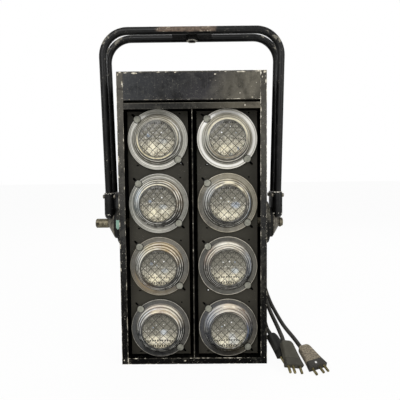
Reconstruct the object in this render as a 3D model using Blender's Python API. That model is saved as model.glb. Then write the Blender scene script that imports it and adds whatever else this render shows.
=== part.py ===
"""Eight lamp audience blinder: two panning trays of sealed beam lamps in a box on a double tube yoke."""

import math

import bmesh
import bpy
from mathutils import Matrix, Vector

# General
GAP = 0.0003                  # clearance left between neighbouring pieces
SHEET = 0.0015                # steel sheet of the box, trays and cover
ROUND_STEPS = 24              # sides of a large round piece
PIVOT_STEPS = 20              # sides of the round pieces on the yoke pivots
SMALL_STEPS = 12              # sides of a small round piece

# Sealed beam lamps
LAMP_RADIUS = 0.0565          # outside of the glass rim
RIM_THICKNESS = 0.0050
RIM_SEAT = 0.0070             # how far the rim overlaps the tray hole
REFLECTOR_PLAY = 0.0020       # reflector to tray hole
REFLECTOR_DEPTH = 0.0460
LENS_RADIUS = 0.0335
LENS_RISE = 0.0155            # lens edge in front of the rim
LENS_CROWN = 0.0032           # dome of the lens above its edge
LENS_CELL = 0.0100            # pitch of the pillow pattern
LENS_PILLOW = 0.0006
WALL_STEPS = 3                # steps in the glass between rim and lens
SPADE_SIZE = (0.0063, 0.0080, 0.0014)

# Trays
LAMP_ROWS = 4
LAMP_PITCH = 0.1200
TRAY_MARGIN = 0.00025         # side of a tray outside the lamp rims
TRAY_END = 0.0528             # end lamp centre to the end of the tray
TRAY_RETURN = 0.0180          # folded sides, front to back
SPIGOT_COLLAR = 0.0069        # height of the bearing collar under a tray
TRAY_TOP_ROOM = 0.0098        # tray to the terminal shelf
PIVOT_PIN_RADIUS = 0.0030
PIVOT_COLLAR_RADIUS = 0.0060
PIVOT_PIN_REACH = 0.0022      # pin end past the folded end of the tray

# Lamp clips
CLIP_PAD_RADIUS = 0.0062
CLIP_PAD_THICKNESS = 0.0016
CLIP_PAD_SIDES = 10
CLIP_PAD_INSET = 0.0033       # pad centre inside the rim edge
CLIP_SHANK_RADIUS = 0.0016
CLIP_TRAVEL = 0.0080
CLIP_WASHER_RADIUS = 0.0036
CLIP_WASHER_THICKNESS = 0.0016
CLIP_ANGLES = {"upper": math.radians(135), "lower": math.radians(-45)}
TOOL_HOLE_RADIUS = 0.0018
TOOL_HOLE_PLACE = (0.0410, 0.0485)
TOOL_SLOT_PLACE = (-0.0390, -0.0480)
TOOL_SLOT_SIZE = (0.0058, 0.0022)

# Box
HOUSING_DEPTH = 0.1300
LAMP_RECESS = 0.0200          # rim front face behind the front of the box
FLANGE_WIDTH = 0.0115
SIDE_GAP = 0.01275            # tray to box side
DIVIDER_GAP = 0.0075          # tray to divider
BAR_HEIGHT = 0.0109
COVER_HEIGHT = 0.0510
COVER_SLOT = 0.0054           # open slot under the cover
COVER_RETURN = 0.0140
BACK_FLANGE = 0.0100
VENT_SIZE = (0.0800, 0.0050)
VENT_PITCH = 0.0220
VENT_ROWS = 6
VENT_START = 0.0600
WIRE_HOLE_RADIUS = 0.0080
TERMINAL_SIZE = (0.1100, 0.0220, 0.0180)
TERMINAL_WAYS = 6
TERMINAL_FIN = 0.0020

# Pivots of the yoke
PIVOT_HEIGHT = 0.2600
PIVOT_RADIUS = 0.0060
DISH_RADIUS = 0.0420
DISH_DEPTH = 0.0112
DISH_WALL = 0.0025
FRICTION_RADIUS = 0.0300
FRICTION_THICKNESS = 0.0060
HUB_RADIUS = 0.0300
HUB_TIP_RADIUS = 0.0090
HUB_LENGTH = 0.0164
HUB_LIP = 0.0020
NUT_RADIUS = 0.0110           # across the corners of a 19 mm hexagon
NUT_THICKNESS = 0.0080
KNOB_RADIUS = 0.0092
KNOB_LENGTH = 0.0250
KNOB_CHAMFER = 0.0012
KNOB_PIN_RADIUS = 0.0022
KNOB_PIN_INSET = 0.0050
BOLT_WASHER_RADIUS = 0.0100
BOLT_WASHER_THICKNESS = 0.0030
BOLT_HEAD_RADIUS = 0.0086
BOLT_HEAD_THICKNESS = 0.0038

# Yoke
TUBE_RADIUS = 0.00725
TUBE_SPACING = 0.0425         # front to rear tube
YOKE_RISE = 0.3695            # pivot to the centre of the top bar
YOKE_SPLAY = 0.0075           # each arm further out at the top
YOKE_BEND = 0.0475
SLEEVE_WIDTH = 0.0190
SLEEVE_WALL = 0.0022
SLEEVE_TOP = 0.0615           # heights above the pivot
SLEEVE_SHOULDER = 0.0215
SLEEVE_FOOT = 0.0110
SLEEVE_FOOT_WIDTH = 0.0090
SLEEVE_FOOT_LENGTH = 0.0420
SLEEVE_FOOT_STEPS = 3         # rings in the rounding of the foot
TUBE_FOOT = 0.0300
CROSS_BOLT_DROP = 0.0070
CROSS_BOLT_RADIUS = 0.0038
CROSS_BOLT_HEAD = 0.0026
CROSS_BOLT_SEAT = 0.0008      # head sunk into the sleeve
PLATE_LENGTH = 0.0770
PLATE_THICKNESS = 0.0060
PLATE_HOLE_RADIUS = 0.0065
PLATE_NUT_THICKNESS = 0.0100

# Leads and plugs
CORD_RADIUS = 0.0040
CORD_POINTS = 21
GLAND_RISE = 0.0274           # centre above the terminal shelf
GLAND_OFFSET = 0.0700         # middle lead to the centre of the box
GLAND_PITCH = 0.0300
GLAND_PLATE_MARGIN = 0.0130
GLAND_PLATE_THICKNESS = 0.0030
GLAND_LENGTH = 0.0300
GLAND_ROOT_RADIUS = 0.0085
GLAND_TIP_RADIUS = 0.0050
PLUG_WIDTH = 0.0370           # at the contact face
PLUG_SEAM_WIDTH = 0.0317
PLUG_SHOULDER_WIDTH = 0.0255
PLUG_TAIL_WIDTH = 0.0150
PLUG_THICKNESS = 0.0124
PLUG_TAIL_THICKNESS = 0.0106
PLUG_BLOCK = 0.0133
PLUG_SHELL = 0.0363
PLUG_SHOULDER = 0.0255        # seam to the start of the rounded rear corners
PLUG_CORNER_STEPS = 3
PLUG_CORNER = 0.0025
PLUG_PIN_RADIUS = 0.0024
PLUG_PIN_LENGTH = 0.0136
PLUG_PIN_PLACES = (-0.0123, -0.0029, 0.0112)
# front centre, then heading, nose down and roll in degrees, -1 where the plug lies the other way up, and
# the place of the cord across its rear
PLUG_PLACES = {
    "a": ((0.2221, -0.0979, 0.0086), 20.4, 21.3, -6.3, -1, -0.0045),
    "b": ((0.1787, -0.1005, 0.0119), 8.7, 31.8, 15.0, 1, -0.0045),
    "c": ((0.1692, -0.0652, 0.0129), 30.0, 34.7, 19.2, 1, 0.0),
}
# hand chosen points from behind the gland to behind the plug
CORD_ROUTES = {
    "a": ((0.1002, 0.1270, 0.5080), (0.1006, 0.1385, 0.4965), (0.1012, 0.1440, 0.4780),
          (0.1030, 0.1465, 0.450), (0.107, 0.1455, 0.400), (0.114, 0.140, 0.330), (0.124, 0.130, 0.260),
          (0.1365, 0.116, 0.190), (0.1462, 0.0995, 0.140), (0.1545, 0.0785, 0.107),
          (0.161, 0.052, 0.083), (0.169, 0.026, 0.066), (0.179, -0.006, 0.050),
          (0.1915, -0.033, 0.0375)),
    "b": ((0.0703, 0.1270, 0.5080), (0.0710, 0.1385, 0.4965), (0.0722, 0.1440, 0.4780),
          (0.0758, 0.1465, 0.450), (0.083, 0.1455, 0.400), (0.094, 0.140, 0.330), (0.107, 0.132, 0.260),
          (0.121, 0.118, 0.195), (0.1342, 0.1035, 0.145), (0.1445, 0.082, 0.112),
          (0.1518, 0.050, 0.088), (0.156, 0.014, 0.0715), (0.1625, -0.022, 0.0565)),
    "c": ((0.0404, 0.1270, 0.5080), (0.0415, 0.1385, 0.4965), (0.0432, 0.1440, 0.4780),
          (0.0478, 0.1465, 0.450), (0.056, 0.1455, 0.400), (0.071, 0.140, 0.330), (0.090, 0.130, 0.260),
          (0.108, 0.117, 0.205), (0.122, 0.101, 0.160), (0.1325, 0.084, 0.126),
          (0.1419, 0.060, 0.099), (0.1421, 0.028, 0.079), (0.1416, -0.005, 0.059)),
}

# Worked out from the sizes above
tray_plate_height = (LAMP_ROWS - 1) * LAMP_PITCH + 2 * TRAY_END
tray_base = SHEET + SPIGOT_COLLAR + GAP
tray_top = tray_base + tray_plate_height
shelf_under = tray_top + TRAY_TOP_ROOM
shelf_top = shelf_under + SHEET
cover_base = shelf_top + COVER_SLOT
housing_height = cover_base + COVER_HEIGHT
tray_half = LAMP_RADIUS + TRAY_MARGIN
column_x = SHEET / 2 + DIVIDER_GAP + tray_half
half_width = column_x + tray_half + SIDE_GAP + SHEET
front_y = -HOUSING_DEPTH / 2
back_y = HOUSING_DEPTH / 2
inner_half = half_width - SHEET
opening_half = half_width - FLANGE_WIDTH
ring_front = back_y - 2 * SHEET - GAP
rim_front_y = front_y + LAMP_RECESS
plate_front_y = rim_front_y + RIM_THICKNESS + GAP
plate_back_y = plate_front_y + SHEET
pan_y = plate_front_y + TRAY_RETURN / 2
hole_radius = LAMP_RADIUS - RIM_SEAT
reflector_radius = hole_radius - REFLECTOR_PLAY
shank_rest = LAMP_RADIUS + CLIP_SHANK_RADIUS + 2 * GAP
slot_half = CLIP_SHANK_RADIUS + GAP
lamp_heights = [tray_top - TRAY_END - row * LAMP_PITCH for row in range(LAMP_ROWS)]
gland_height = shelf_top + GLAND_RISE
gland_centres = {"a": GLAND_OFFSET + GLAND_PITCH, "b": GLAND_OFFSET, "c": GLAND_OFFSET - GLAND_PITCH}

dish_face = half_width + GAP + DISH_DEPTH
friction_face = dish_face + GAP + FRICTION_THICKNESS
hub_base = friction_face + GAP
hub_tip = hub_base + HUB_LENGTH
clamp_base = hub_tip + GAP
sleeve_x = hub_base + SLEEVE_WIDTH / 2
sleeve_length = TUBE_SPACING + 2 * (TUBE_RADIUS + SLEEVE_WALL)
bore_radius = PIVOT_RADIUS + GAP

SIDES = {"left": -1, "right": 1}


def clear_scene():
    for found in list(bpy.data.objects):
        bpy.data.objects.remove(found, do_unlink=True)


def finish(name, colour, roughness, metallic):
    """A plain principled material in the colour of the real surface."""
    material = bpy.data.materials.get(name)
    if material is None:
        material = bpy.data.materials.new(name)
        material.use_nodes = True
        shader = material.node_tree.nodes["Principled BSDF"]
        shader.inputs["Base Color"].default_value = (*colour, 1.0)
        shader.inputs["Roughness"].default_value = roughness
        shader.inputs["Metallic"].default_value = metallic
        material.diffuse_color = (*colour, 1.0)
    return material


def box_paint(name):
    return finish(name, (0.030, 0.030, 0.028), 0.55, 0.0)


def tray_paint(name):
    return finish(name, (0.022, 0.022, 0.020), 0.65, 0.0)


def yoke_paint(name):
    return finish(name, (0.012, 0.012, 0.012), 0.35, 0.0)


def bare_steel(name):
    return finish(name, (0.270, 0.250, 0.200), 0.45, 0.9)


def zinc(name):
    return finish(name, (0.300, 0.310, 0.270), 0.55, 0.7)


def lamp_glass(name):
    return finish(name, (0.520, 0.510, 0.470), 0.15, 0.3)


def black_rubber(name):
    return finish(name, (0.015, 0.015, 0.015), 0.75, 0.0)


def plug_plastic(name):
    return finish(name, (0.065, 0.060, 0.052), 0.60, 0.0)


def link(name, mesh, material=None):
    made = bpy.data.objects.new(name, mesh)
    bpy.context.collection.objects.link(made)
    if material is not None:
        mesh.materials.clear()
        mesh.materials.append(material)
    return made


def from_bmesh(name, shape, material=None):
    bmesh.ops.recalc_face_normals(shape, faces=shape.faces)
    mesh = bpy.data.meshes.new(name)
    shape.to_mesh(mesh)
    shape.free()
    return link(name, mesh, material)


def loft(name, sections, material=None, closed=False):
    """Skin between rings of points; a ring of one point is a pole, and closed joins last to first."""
    shape = bmesh.new()
    rings = [[shape.verts.new(point) for point in ring] for ring in sections]
    pairs = list(zip(rings, rings[1:]))
    if closed:
        pairs.append((rings[-1], rings[0]))
    for low, high in pairs:
        count = max(len(low), len(high))
        for i in range(count):
            j = (i + 1) % count
            corners = []
            for vert in (low[i % len(low)], low[j % len(low)], high[j % len(high)], high[i % len(high)]):
                if vert not in corners:
                    corners.append(vert)
            shape.faces.new(corners)
    if not closed:
        for ring in (rings[0], rings[-1]):
            if len(ring) > 1:
                shape.faces.new(ring)
    return from_bmesh(name, shape, material)


def box(name, low, high, material=None):
    ring = ((0, 0), (1, 0), (1, 1), (0, 1))
    ends = (low, high)
    sections = [[(ends[i][0], ends[j][1], ends[k][2]) for i, j in ring] for k in (0, 1)]
    return loft(name, sections, material)


def along(axis, a, b, t):
    """Place (a, b) across an axis and t along it."""
    return {"X": (t, a, b), "Y": (a, t, b), "Z": (a, b, t)}[axis]


def prism(name, outline, axis, start, end, material=None):
    return loft(name, [[along(axis, a, b, t) for a, b in outline] for t in (start, end)], material)


def circle(radius, steps, centre=(0.0, 0.0), turn=0.0):
    return [(centre[0] + radius * math.cos(turn + math.tau * i / steps),
             centre[1] + radius * math.sin(turn + math.tau * i / steps)) for i in range(steps)]


def stadium(length, width, steps=4):
    """Outline with round ends, its length along the first direction."""
    reach = (length - width) / 2
    points = []
    for side in (1, -1):
        for i in range(steps + 1):
            angle = math.pi * (i / steps - 0.5)
            points.append((side * (reach + width / 2 * math.cos(angle)),
                           side * width / 2 * math.sin(angle)))
    return points


def turned(name, profile, axis, steps, material=None, centre=(0.0, 0.0)):
    """Turned shape from (radius, place on the axis) points; a profile clear of the axis is a closed loop."""
    sections = []
    for radius, t in profile:
        if radius == 0.0:
            sections.append([along(axis, *centre, t)])
        else:
            sections.append([along(axis, a, b, t) for a, b in circle(radius, steps, centre)])
    return loft(name, sections, material, closed=profile[0][0] != 0.0 and profile[-1][0] != 0.0)


def rod(name, radius, axis, start, end, steps=SMALL_STEPS, material=None, centre=(0.0, 0.0)):
    return prism(name, circle(radius, steps, centre), axis, start, end, material)


def combine(target, helpers, operation):
    """Cut or join helper solids, then discard them."""
    for helper in helpers:
        change = target.modifiers.new(helper.name, "BOOLEAN")
        change.operation = operation
        change.solver = "EXACT"
        change.object = helper
    material = target.data.materials[0] if target.data.materials else None
    graph = bpy.context.evaluated_depsgraph_get()
    mesh = bpy.data.meshes.new_from_object(target.evaluated_get(graph))
    target.modifiers.clear()
    target.data = mesh
    mesh.materials.clear()
    if material is not None:
        mesh.materials.append(material)
    for helper in helpers:
        bpy.data.objects.remove(helper, do_unlink=True)
    return target


def cut(target, *helpers):
    return combine(target, helpers, "DIFFERENCE")


def join(target, *helpers):
    return combine(target, helpers, "UNION")


def smooth(made, angle=35):
    made.data.shade_smooth()
    made.data.set_sharp_from_angle(angle=math.radians(angle))
    return made


def place(made, parent=None, location=(0.0, 0.0, 0.0)):
    made.parent = parent
    made.location = location
    return made


def empty(name, location):
    made = bpy.data.objects.new(name, None)
    bpy.context.collection.objects.link(made)
    made.location = location
    return made


def build_shell():
    """Folded box with front flanges, rear flange ring, pivot holes and the lower bearings of the trays."""
    shell = box("housing_shell", (-half_width, front_y, 0), (half_width, back_y, housing_height),
                box_paint("housing paint"))
    inside = box("inside", (-inner_half, front_y + SHEET, SHEET),
                 (inner_half, back_y + SHEET, housing_height - SHEET))
    mouth = box("mouth", (-opening_half, front_y - SHEET, FLANGE_WIDTH),
                (opening_half, front_y + 2 * SHEET, housing_height - SHEET))
    bores = [rod("bore", bore_radius, "X", side * (half_width + SHEET), side * (inner_half - SHEET),
                 SMALL_STEPS, None, (0.0, PIVOT_HEIGHT)) for side in SIDES.values()]
    cut(shell, inside, mouth, *bores)
    sink = SHEET / 2
    ring = box("ring", (-inner_half - sink, ring_front, SHEET - sink),
               (inner_half + sink, ring_front + SHEET, housing_height - SHEET + sink))
    cut(ring, box("ring mouth", (-inner_half + BACK_FLANGE, ring_front - SHEET, SHEET + BACK_FLANGE),
                  (inner_half - BACK_FLANGE, back_y, housing_height - SHEET - BACK_FLANGE)))
    spigots = []
    for side in SIDES.values():
        profile = ((0.0, sink), (PIVOT_COLLAR_RADIUS, sink), (PIVOT_COLLAR_RADIUS, SHEET + SPIGOT_COLLAR),
                   (PIVOT_PIN_RADIUS, SHEET + SPIGOT_COLLAR),
                   (PIVOT_PIN_RADIUS, tray_base + SHEET + PIVOT_PIN_REACH),
                   (0.0, tray_base + SHEET + PIVOT_PIN_REACH))
        spigots.append(turned("spigot", profile, "Z", SMALL_STEPS, None, (side * column_x, pan_y)))
    join(shell, ring, *spigots)
    return shell


def build_shelf():
    """Shelf under the terminal bay, folded down at the front into the bar over the lamps."""
    profile = [(front_y, shelf_top - BAR_HEIGHT), (front_y + SHEET, shelf_top - BAR_HEIGHT),
               (front_y + SHEET, shelf_under), (front_y + 3 * SHEET, shelf_under),
               (front_y + 3 * SHEET, shelf_top), (front_y, shelf_top)]
    bar_half = opening_half - GAP
    shelf = prism("terminal_shelf", profile, "X", -bar_half, bar_half, box_paint("shelf paint"))
    join(shelf, box("plate", (-inner_half + GAP, front_y + SHEET + GAP, shelf_under),
                    (inner_half - GAP, ring_front - GAP, shelf_top)))
    holes = []
    for side in SIDES.values():
        holes.append(rod("pin hole", PIVOT_PIN_RADIUS + GAP, "Z", shelf_under - SHEET, shelf_top + SHEET,
                         SMALL_STEPS, None, (side * column_x, pan_y)))
        holes.append(rod("wire hole", WIRE_HOLE_RADIUS, "Z", shelf_under - SHEET, shelf_top + SHEET,
                         SMALL_STEPS, None, (side * column_x, back_y / 2)))
    return cut(shelf, *holes)


def build_divider():
    """Upright between the trays, its foot folded to one side."""
    low = SHEET + GAP
    high = shelf_under - GAP
    foot = DIVIDER_GAP
    profile = [(-SHEET / 2, low), (foot, low), (foot, low + SHEET), (SHEET / 2, low + SHEET),
               (SHEET / 2, high), (-SHEET / 2, high)]
    return prism("divider", profile, "Y", front_y + SHEET + GAP, ring_front - GAP,
                 tray_paint("divider paint"))


def build_back_panel():
    reach = inner_half - GAP
    panel = box("back_panel", (-reach, back_y - SHEET, SHEET + GAP),
                (reach, back_y, housing_height - SHEET - GAP), box_paint("back panel paint"))
    vents = []
    for side in SIDES.values():
        for row in range(VENT_ROWS):
            for bank in (VENT_START, shelf_under - VENT_START - (VENT_ROWS - 1) * VENT_PITCH):
                centre = bank + row * VENT_PITCH
                outline = [(a + side * column_x, b + centre) for a, b in stadium(*VENT_SIZE, 1)]
                vents.append(prism("vent", outline, "Y", back_y - 2 * SHEET, back_y + SHEET))
    for centre in gland_centres.values():
        vents.append(rod("gland hole", GLAND_TIP_RADIUS, "Y", back_y - 2 * SHEET, back_y + SHEET,
                         SMALL_STEPS, None, (centre, gland_height)))
    return cut(panel, *vents)


def build_cover():
    """Lid of the terminal bay, a shallow pan with its open side inwards."""
    reach = opening_half - GAP
    top = housing_height - SHEET - GAP
    cover = box("top_cover", (-reach, front_y, cover_base), (reach, front_y + COVER_RETURN, top),
                box_paint("cover paint"))
    return cut(cover, box("pan", (-reach + SHEET, front_y + SHEET, cover_base + SHEET),
                          (reach - SHEET, front_y + COVER_RETURN + SHEET, top - SHEET)))


def build_terminal_block():
    """Barrier strip with a fin between each pair of ways."""
    length, depth, height = TERMINAL_SIZE
    pitch = (length - TERMINAL_FIN) / TERMINAL_WAYS
    base = shelf_top + GAP
    outline = [(-length / 2, base), (length / 2, base)]
    for fin in range(TERMINAL_WAYS, -1, -1):
        left = -length / 2 + fin * pitch
        outline += [(left + TERMINAL_FIN, base + height), (left, base + height)]
        if fin:
            outline += [(left, base + height / 2), (left - pitch + TERMINAL_FIN, base + height / 2)]
    return prism("terminal_block", outline, "Y", -depth / 2, depth / 2, black_rubber("terminal moulding"))


def build_tray(side_name, frame):
    """Folded tray with four lamp holes, their clip slots and the small service holes."""
    half = tray_half
    front = plate_front_y - pan_y
    tray = box("tray_" + side_name, (-half, front, tray_base), (half, front + TRAY_RETURN, tray_top),
               tray_paint("tray paint " + side_name))
    cut(tray, box("pan", (-half + SHEET, front + SHEET, tray_base + SHEET),
                  (half - SHEET, front + TRAY_RETURN + SHEET, tray_top - SHEET)))
    holes = []
    before, behind = front - SHEET, front + 2 * SHEET
    slot_length = CLIP_TRAVEL + 2 * GAP + 2 * slot_half
    slot_centre = shank_rest + CLIP_TRAVEL / 2
    for height in lamp_heights:
        holes.append(rod("lamp hole", hole_radius, "Y", before, behind, ROUND_STEPS, None, (0.0, height)))
        for angle in CLIP_ANGLES.values():
            turn = Matrix.Rotation(angle, 2)
            outline = [turn @ Vector((a + slot_centre, b))
                       for a, b in stadium(slot_length, 2 * slot_half, 2)]
            holes.append(prism("slot", [(a, b + height) for a, b in outline], "Y", before, behind))
        across, up = TOOL_HOLE_PLACE
        holes.append(rod("tool hole", TOOL_HOLE_RADIUS, "Y", before, behind, 6, None,
                         (across, height + up)))
        across, up = TOOL_SLOT_PLACE
        outline = [(a + across, b + height + up) for a, b in stadium(*TOOL_SLOT_SIZE, 2)]
        holes.append(prism("tool slot", outline, "Y", before, behind))
    for low in (tray_base, tray_top - SHEET):
        holes.append(rod("pin hole", PIVOT_PIN_RADIUS + GAP, "Z", low - SHEET, low + 2 * SHEET))
    cut(tray, *holes)
    return place(tray, frame)


def build_tray_pivot(side_name):
    """Upper bearing of a tray: pin, spacing collar and the nut above the shelf."""
    pin = PIVOT_PIN_RADIUS
    collar = PIVOT_COLLAR_RADIUS
    nut_low = shelf_top + GAP
    profile = ((0.0, tray_top - SHEET - PIVOT_PIN_REACH), (pin, tray_top - SHEET - PIVOT_PIN_REACH),
               (pin, tray_top + GAP), (collar, tray_top + GAP), (collar, shelf_under - GAP),
               (pin, shelf_under - GAP), (pin, nut_low), (collar, nut_low), (collar, nut_low + pin),
               (0.0, nut_low + pin))
    pivot = turned("tray_pivot_" + side_name, profile, "Z", SMALL_STEPS,
                   zinc("tray pivot zinc " + side_name))
    return place(smooth(pivot), None, (SIDES[side_name] * column_x, pan_y, 0.0))


def dome(radius):
    """Height of the lens above its edge."""
    return LENS_CROWN * (1 - (radius / LENS_RADIUS) ** 2)


def build_lamp_mesh():
    """Sealed beam lamp looking along -Y, rim face at the origin: reflector, rim, steps and pillowed lens."""
    neck = reflector_radius * 0.24
    back = RIM_THICKNESS + REFLECTOR_DEPTH
    profile = [(0.0, back + neck), (neck, back + neck), (neck, back),
               (reflector_radius * 0.70, back * 0.56), (reflector_radius, RIM_THICKNESS),
               (LAMP_RADIUS, RIM_THICKNESS), (LAMP_RADIUS, 0.0)]
    step_out = (LAMP_RADIUS * 0.815 - LENS_RADIUS) / WALL_STEPS
    step_up = LENS_RISE / WALL_STEPS
    for step in range(WALL_STEPS):
        outer = LAMP_RADIUS * 0.815 - step * step_out
        profile.append((outer, -step * step_up))
        if step + 1 < WALL_STEPS:
            profile.append((outer - step_out * 0.35, -(step + 0.92) * step_up))
    profile.append((LENS_RADIUS, -LENS_RISE))

    shape = bmesh.new()
    rings = []
    for radius, t in profile:
        steps = ROUND_STEPS if t < RIM_THICKNESS + GAP else ROUND_STEPS // 2
        points = [(0.0, 0.0)] if radius == 0.0 else circle(radius, steps)
        rings.append([shape.verts.new((a, t, b)) for a, b in points])
    for low, high in zip(rings, rings[1:]):
        for i in range(len(high)):
            j = (i + 1) % len(high)
            corners = [low[i * len(low) // len(high)], low[j * len(low) // len(high)], high[j], high[i]]
            shape.faces.new(list(dict.fromkeys(corners)))
    lens = shape.faces.new(rings[-1])

    # the lens face is split along two sets of diagonal grooves, then domed and each cell raised to a pillow
    cells = [lens]
    count = math.ceil(LENS_RADIUS / LENS_CELL)
    for normal in ((1, 0, 1), (1, 0, -1)):
        direction = Vector(normal).normalized()
        for i in range(-count, count):
            geometry = set(cells)
            for face in cells:
                geometry.update(face.edges)
                geometry.update(face.verts)
            plane_at = direction * (i + 0.5) * LENS_CELL
            made = bmesh.ops.bisect_plane(shape, geom=list(geometry), dist=1e-7, plane_co=plane_at,
                                          plane_no=direction)
            cells = [item for item in made["geom"] if isinstance(item, bmesh.types.BMFace)]
    inner_verts = {vert for face in cells for vert in face.verts
                   if all(other in cells for other in vert.link_faces)}
    for vert in inner_verts:
        vert.co.y = -LENS_RISE - dome(Vector((vert.co.x, vert.co.z)).length)
    whole = [face for face in cells if len(face.verts) == 4 and inner_verts.issuperset(face.verts)]
    made = bmesh.ops.poke(shape, faces=whole)
    for vert in made["verts"]:
        radius = Vector((vert.co.x, vert.co.z)).length
        vert.co.y = -LENS_RISE - dome(radius) - LENS_PILLOW
    lamp = from_bmesh("lamp", shape)
    reach = back + neck + SPADE_SIZE[1]
    posts = [box("spade", (across - SPADE_SIZE[0] / 2, back, -SPADE_SIZE[2] / 2),
                 (across + SPADE_SIZE[0] / 2, reach, SPADE_SIZE[2] / 2))
             for across in (-neck / 2, neck / 2)]
    join(lamp, *posts)
    mesh = smooth(lamp, 25).data
    bpy.data.objects.remove(lamp, do_unlink=True)
    return mesh


def build_clip_mesh():
    """Clip with its shank at the origin: the pad reaches back over the lamp rim along -X."""
    pad_x = -(shank_rest - LAMP_RADIUS + CLIP_PAD_INSET)
    pad_back = rim_front_y - GAP
    pad_front = pad_back - CLIP_PAD_THICKNESS
    ear_half = CLIP_SHANK_RADIUS * 1.3
    washer_front = plate_back_y + GAP
    washer_back = washer_front + CLIP_WASHER_THICKNESS
    neck_angle = math.asin(ear_half / CLIP_PAD_RADIUS)
    outline = [(pad_x + CLIP_PAD_RADIUS * math.cos(angle), CLIP_PAD_RADIUS * math.sin(angle))
               for angle in (neck_angle + (math.tau - 2 * neck_angle) * i / CLIP_PAD_SIDES
                             for i in range(CLIP_PAD_SIDES + 1))]
    outline += [(ear_half, -ear_half), (ear_half, ear_half)]
    clip = prism("clip", outline, "Y", pad_front, pad_back)
    middle = CLIP_PAD_THICKNESS / 2
    shank = rod("shank", CLIP_SHANK_RADIUS, "Y", pad_back - middle, washer_back - middle, 6)
    washer = rod("washer", CLIP_WASHER_RADIUS, "Y", washer_front, washer_back, 6)
    join(clip, shank, washer)
    mesh = smooth(clip).data
    bpy.data.objects.remove(clip, do_unlink=True)
    return mesh


def build_bank(side_name, lamp_mesh, clip_mesh):
    """One tray with its lamps and clips, all carried by the pan axis."""
    frame = empty("pan_axis_" + side_name, (SIDES[side_name] * column_x, pan_y, 0.0))
    build_tray(side_name, frame)
    for row, height in enumerate(lamp_heights, 1):
        tag = f"{side_name}_{row}"
        lamp = link("lamp_" + tag, lamp_mesh.copy(), lamp_glass("lamp glass " + tag))
        place(lamp, frame, (0.0, rim_front_y - pan_y, height))
        for end, angle in CLIP_ANGLES.items():
            clip = link(f"clip_{tag}_{end}", clip_mesh.copy(), zinc(f"clip zinc {tag} {end}"))
            seat = (shank_rest * math.cos(angle), -pan_y, height + shank_rest * math.sin(angle))
            place(clip, frame, seat)
            clip.rotation_euler = (0.0, -angle, 0.0)


def build_pivot_side(side_name):
    """Fixed stack on one side of the box: dished base disc and friction washer."""
    side = SIDES[side_name]
    low = half_width + GAP
    dish_profile = ((DISH_RADIUS, low), (DISH_RADIUS, dish_face), (bore_radius, dish_face),
                    (bore_radius, dish_face - DISH_WALL), (DISH_RADIUS - DISH_WALL, dish_face - DISH_WALL),
                    (DISH_RADIUS - DISH_WALL, low))
    dish = turned("base_disc_" + side_name, [(r, side * t) for r, t in dish_profile], "X", PIVOT_STEPS,
                  box_paint("base disc paint " + side_name))
    place(smooth(dish), None, (0.0, 0.0, PIVOT_HEIGHT))
    start = dish_face + GAP
    ring = ((FRICTION_RADIUS, start), (FRICTION_RADIUS, friction_face), (bore_radius, friction_face),
            (bore_radius, start))
    washer = turned("friction_washer_" + side_name, [(r, side * t) for r, t in ring], "X", PIVOT_STEPS,
                    black_rubber("friction washer " + side_name))
    place(smooth(washer), None, (0.0, 0.0, PIVOT_HEIGHT))


def hub_profile(spare=0.0):
    """Outer line of the cone, grown by spare when it cuts its neighbour."""
    return [(HUB_RADIUS + spare, hub_base - spare), (HUB_RADIUS + spare, hub_base + HUB_LIP + spare / 2),
            (HUB_TIP_RADIUS + spare, hub_tip - HUB_LIP + spare / 2),
            (HUB_TIP_RADIUS + spare, hub_tip + spare)]


def build_hub(side_name, frame):
    """Cone under the sleeve that turns on the pivot bolt."""
    side = SIDES[side_name]
    profile = hub_profile() + [(bore_radius, hub_tip), (bore_radius, hub_base)]
    hub = turned("hub_" + side_name, [(r, side * t) for r, t in profile], "X", PIVOT_STEPS,
                 bare_steel("hub steel " + side_name))
    return place(smooth(hub), frame)


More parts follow.
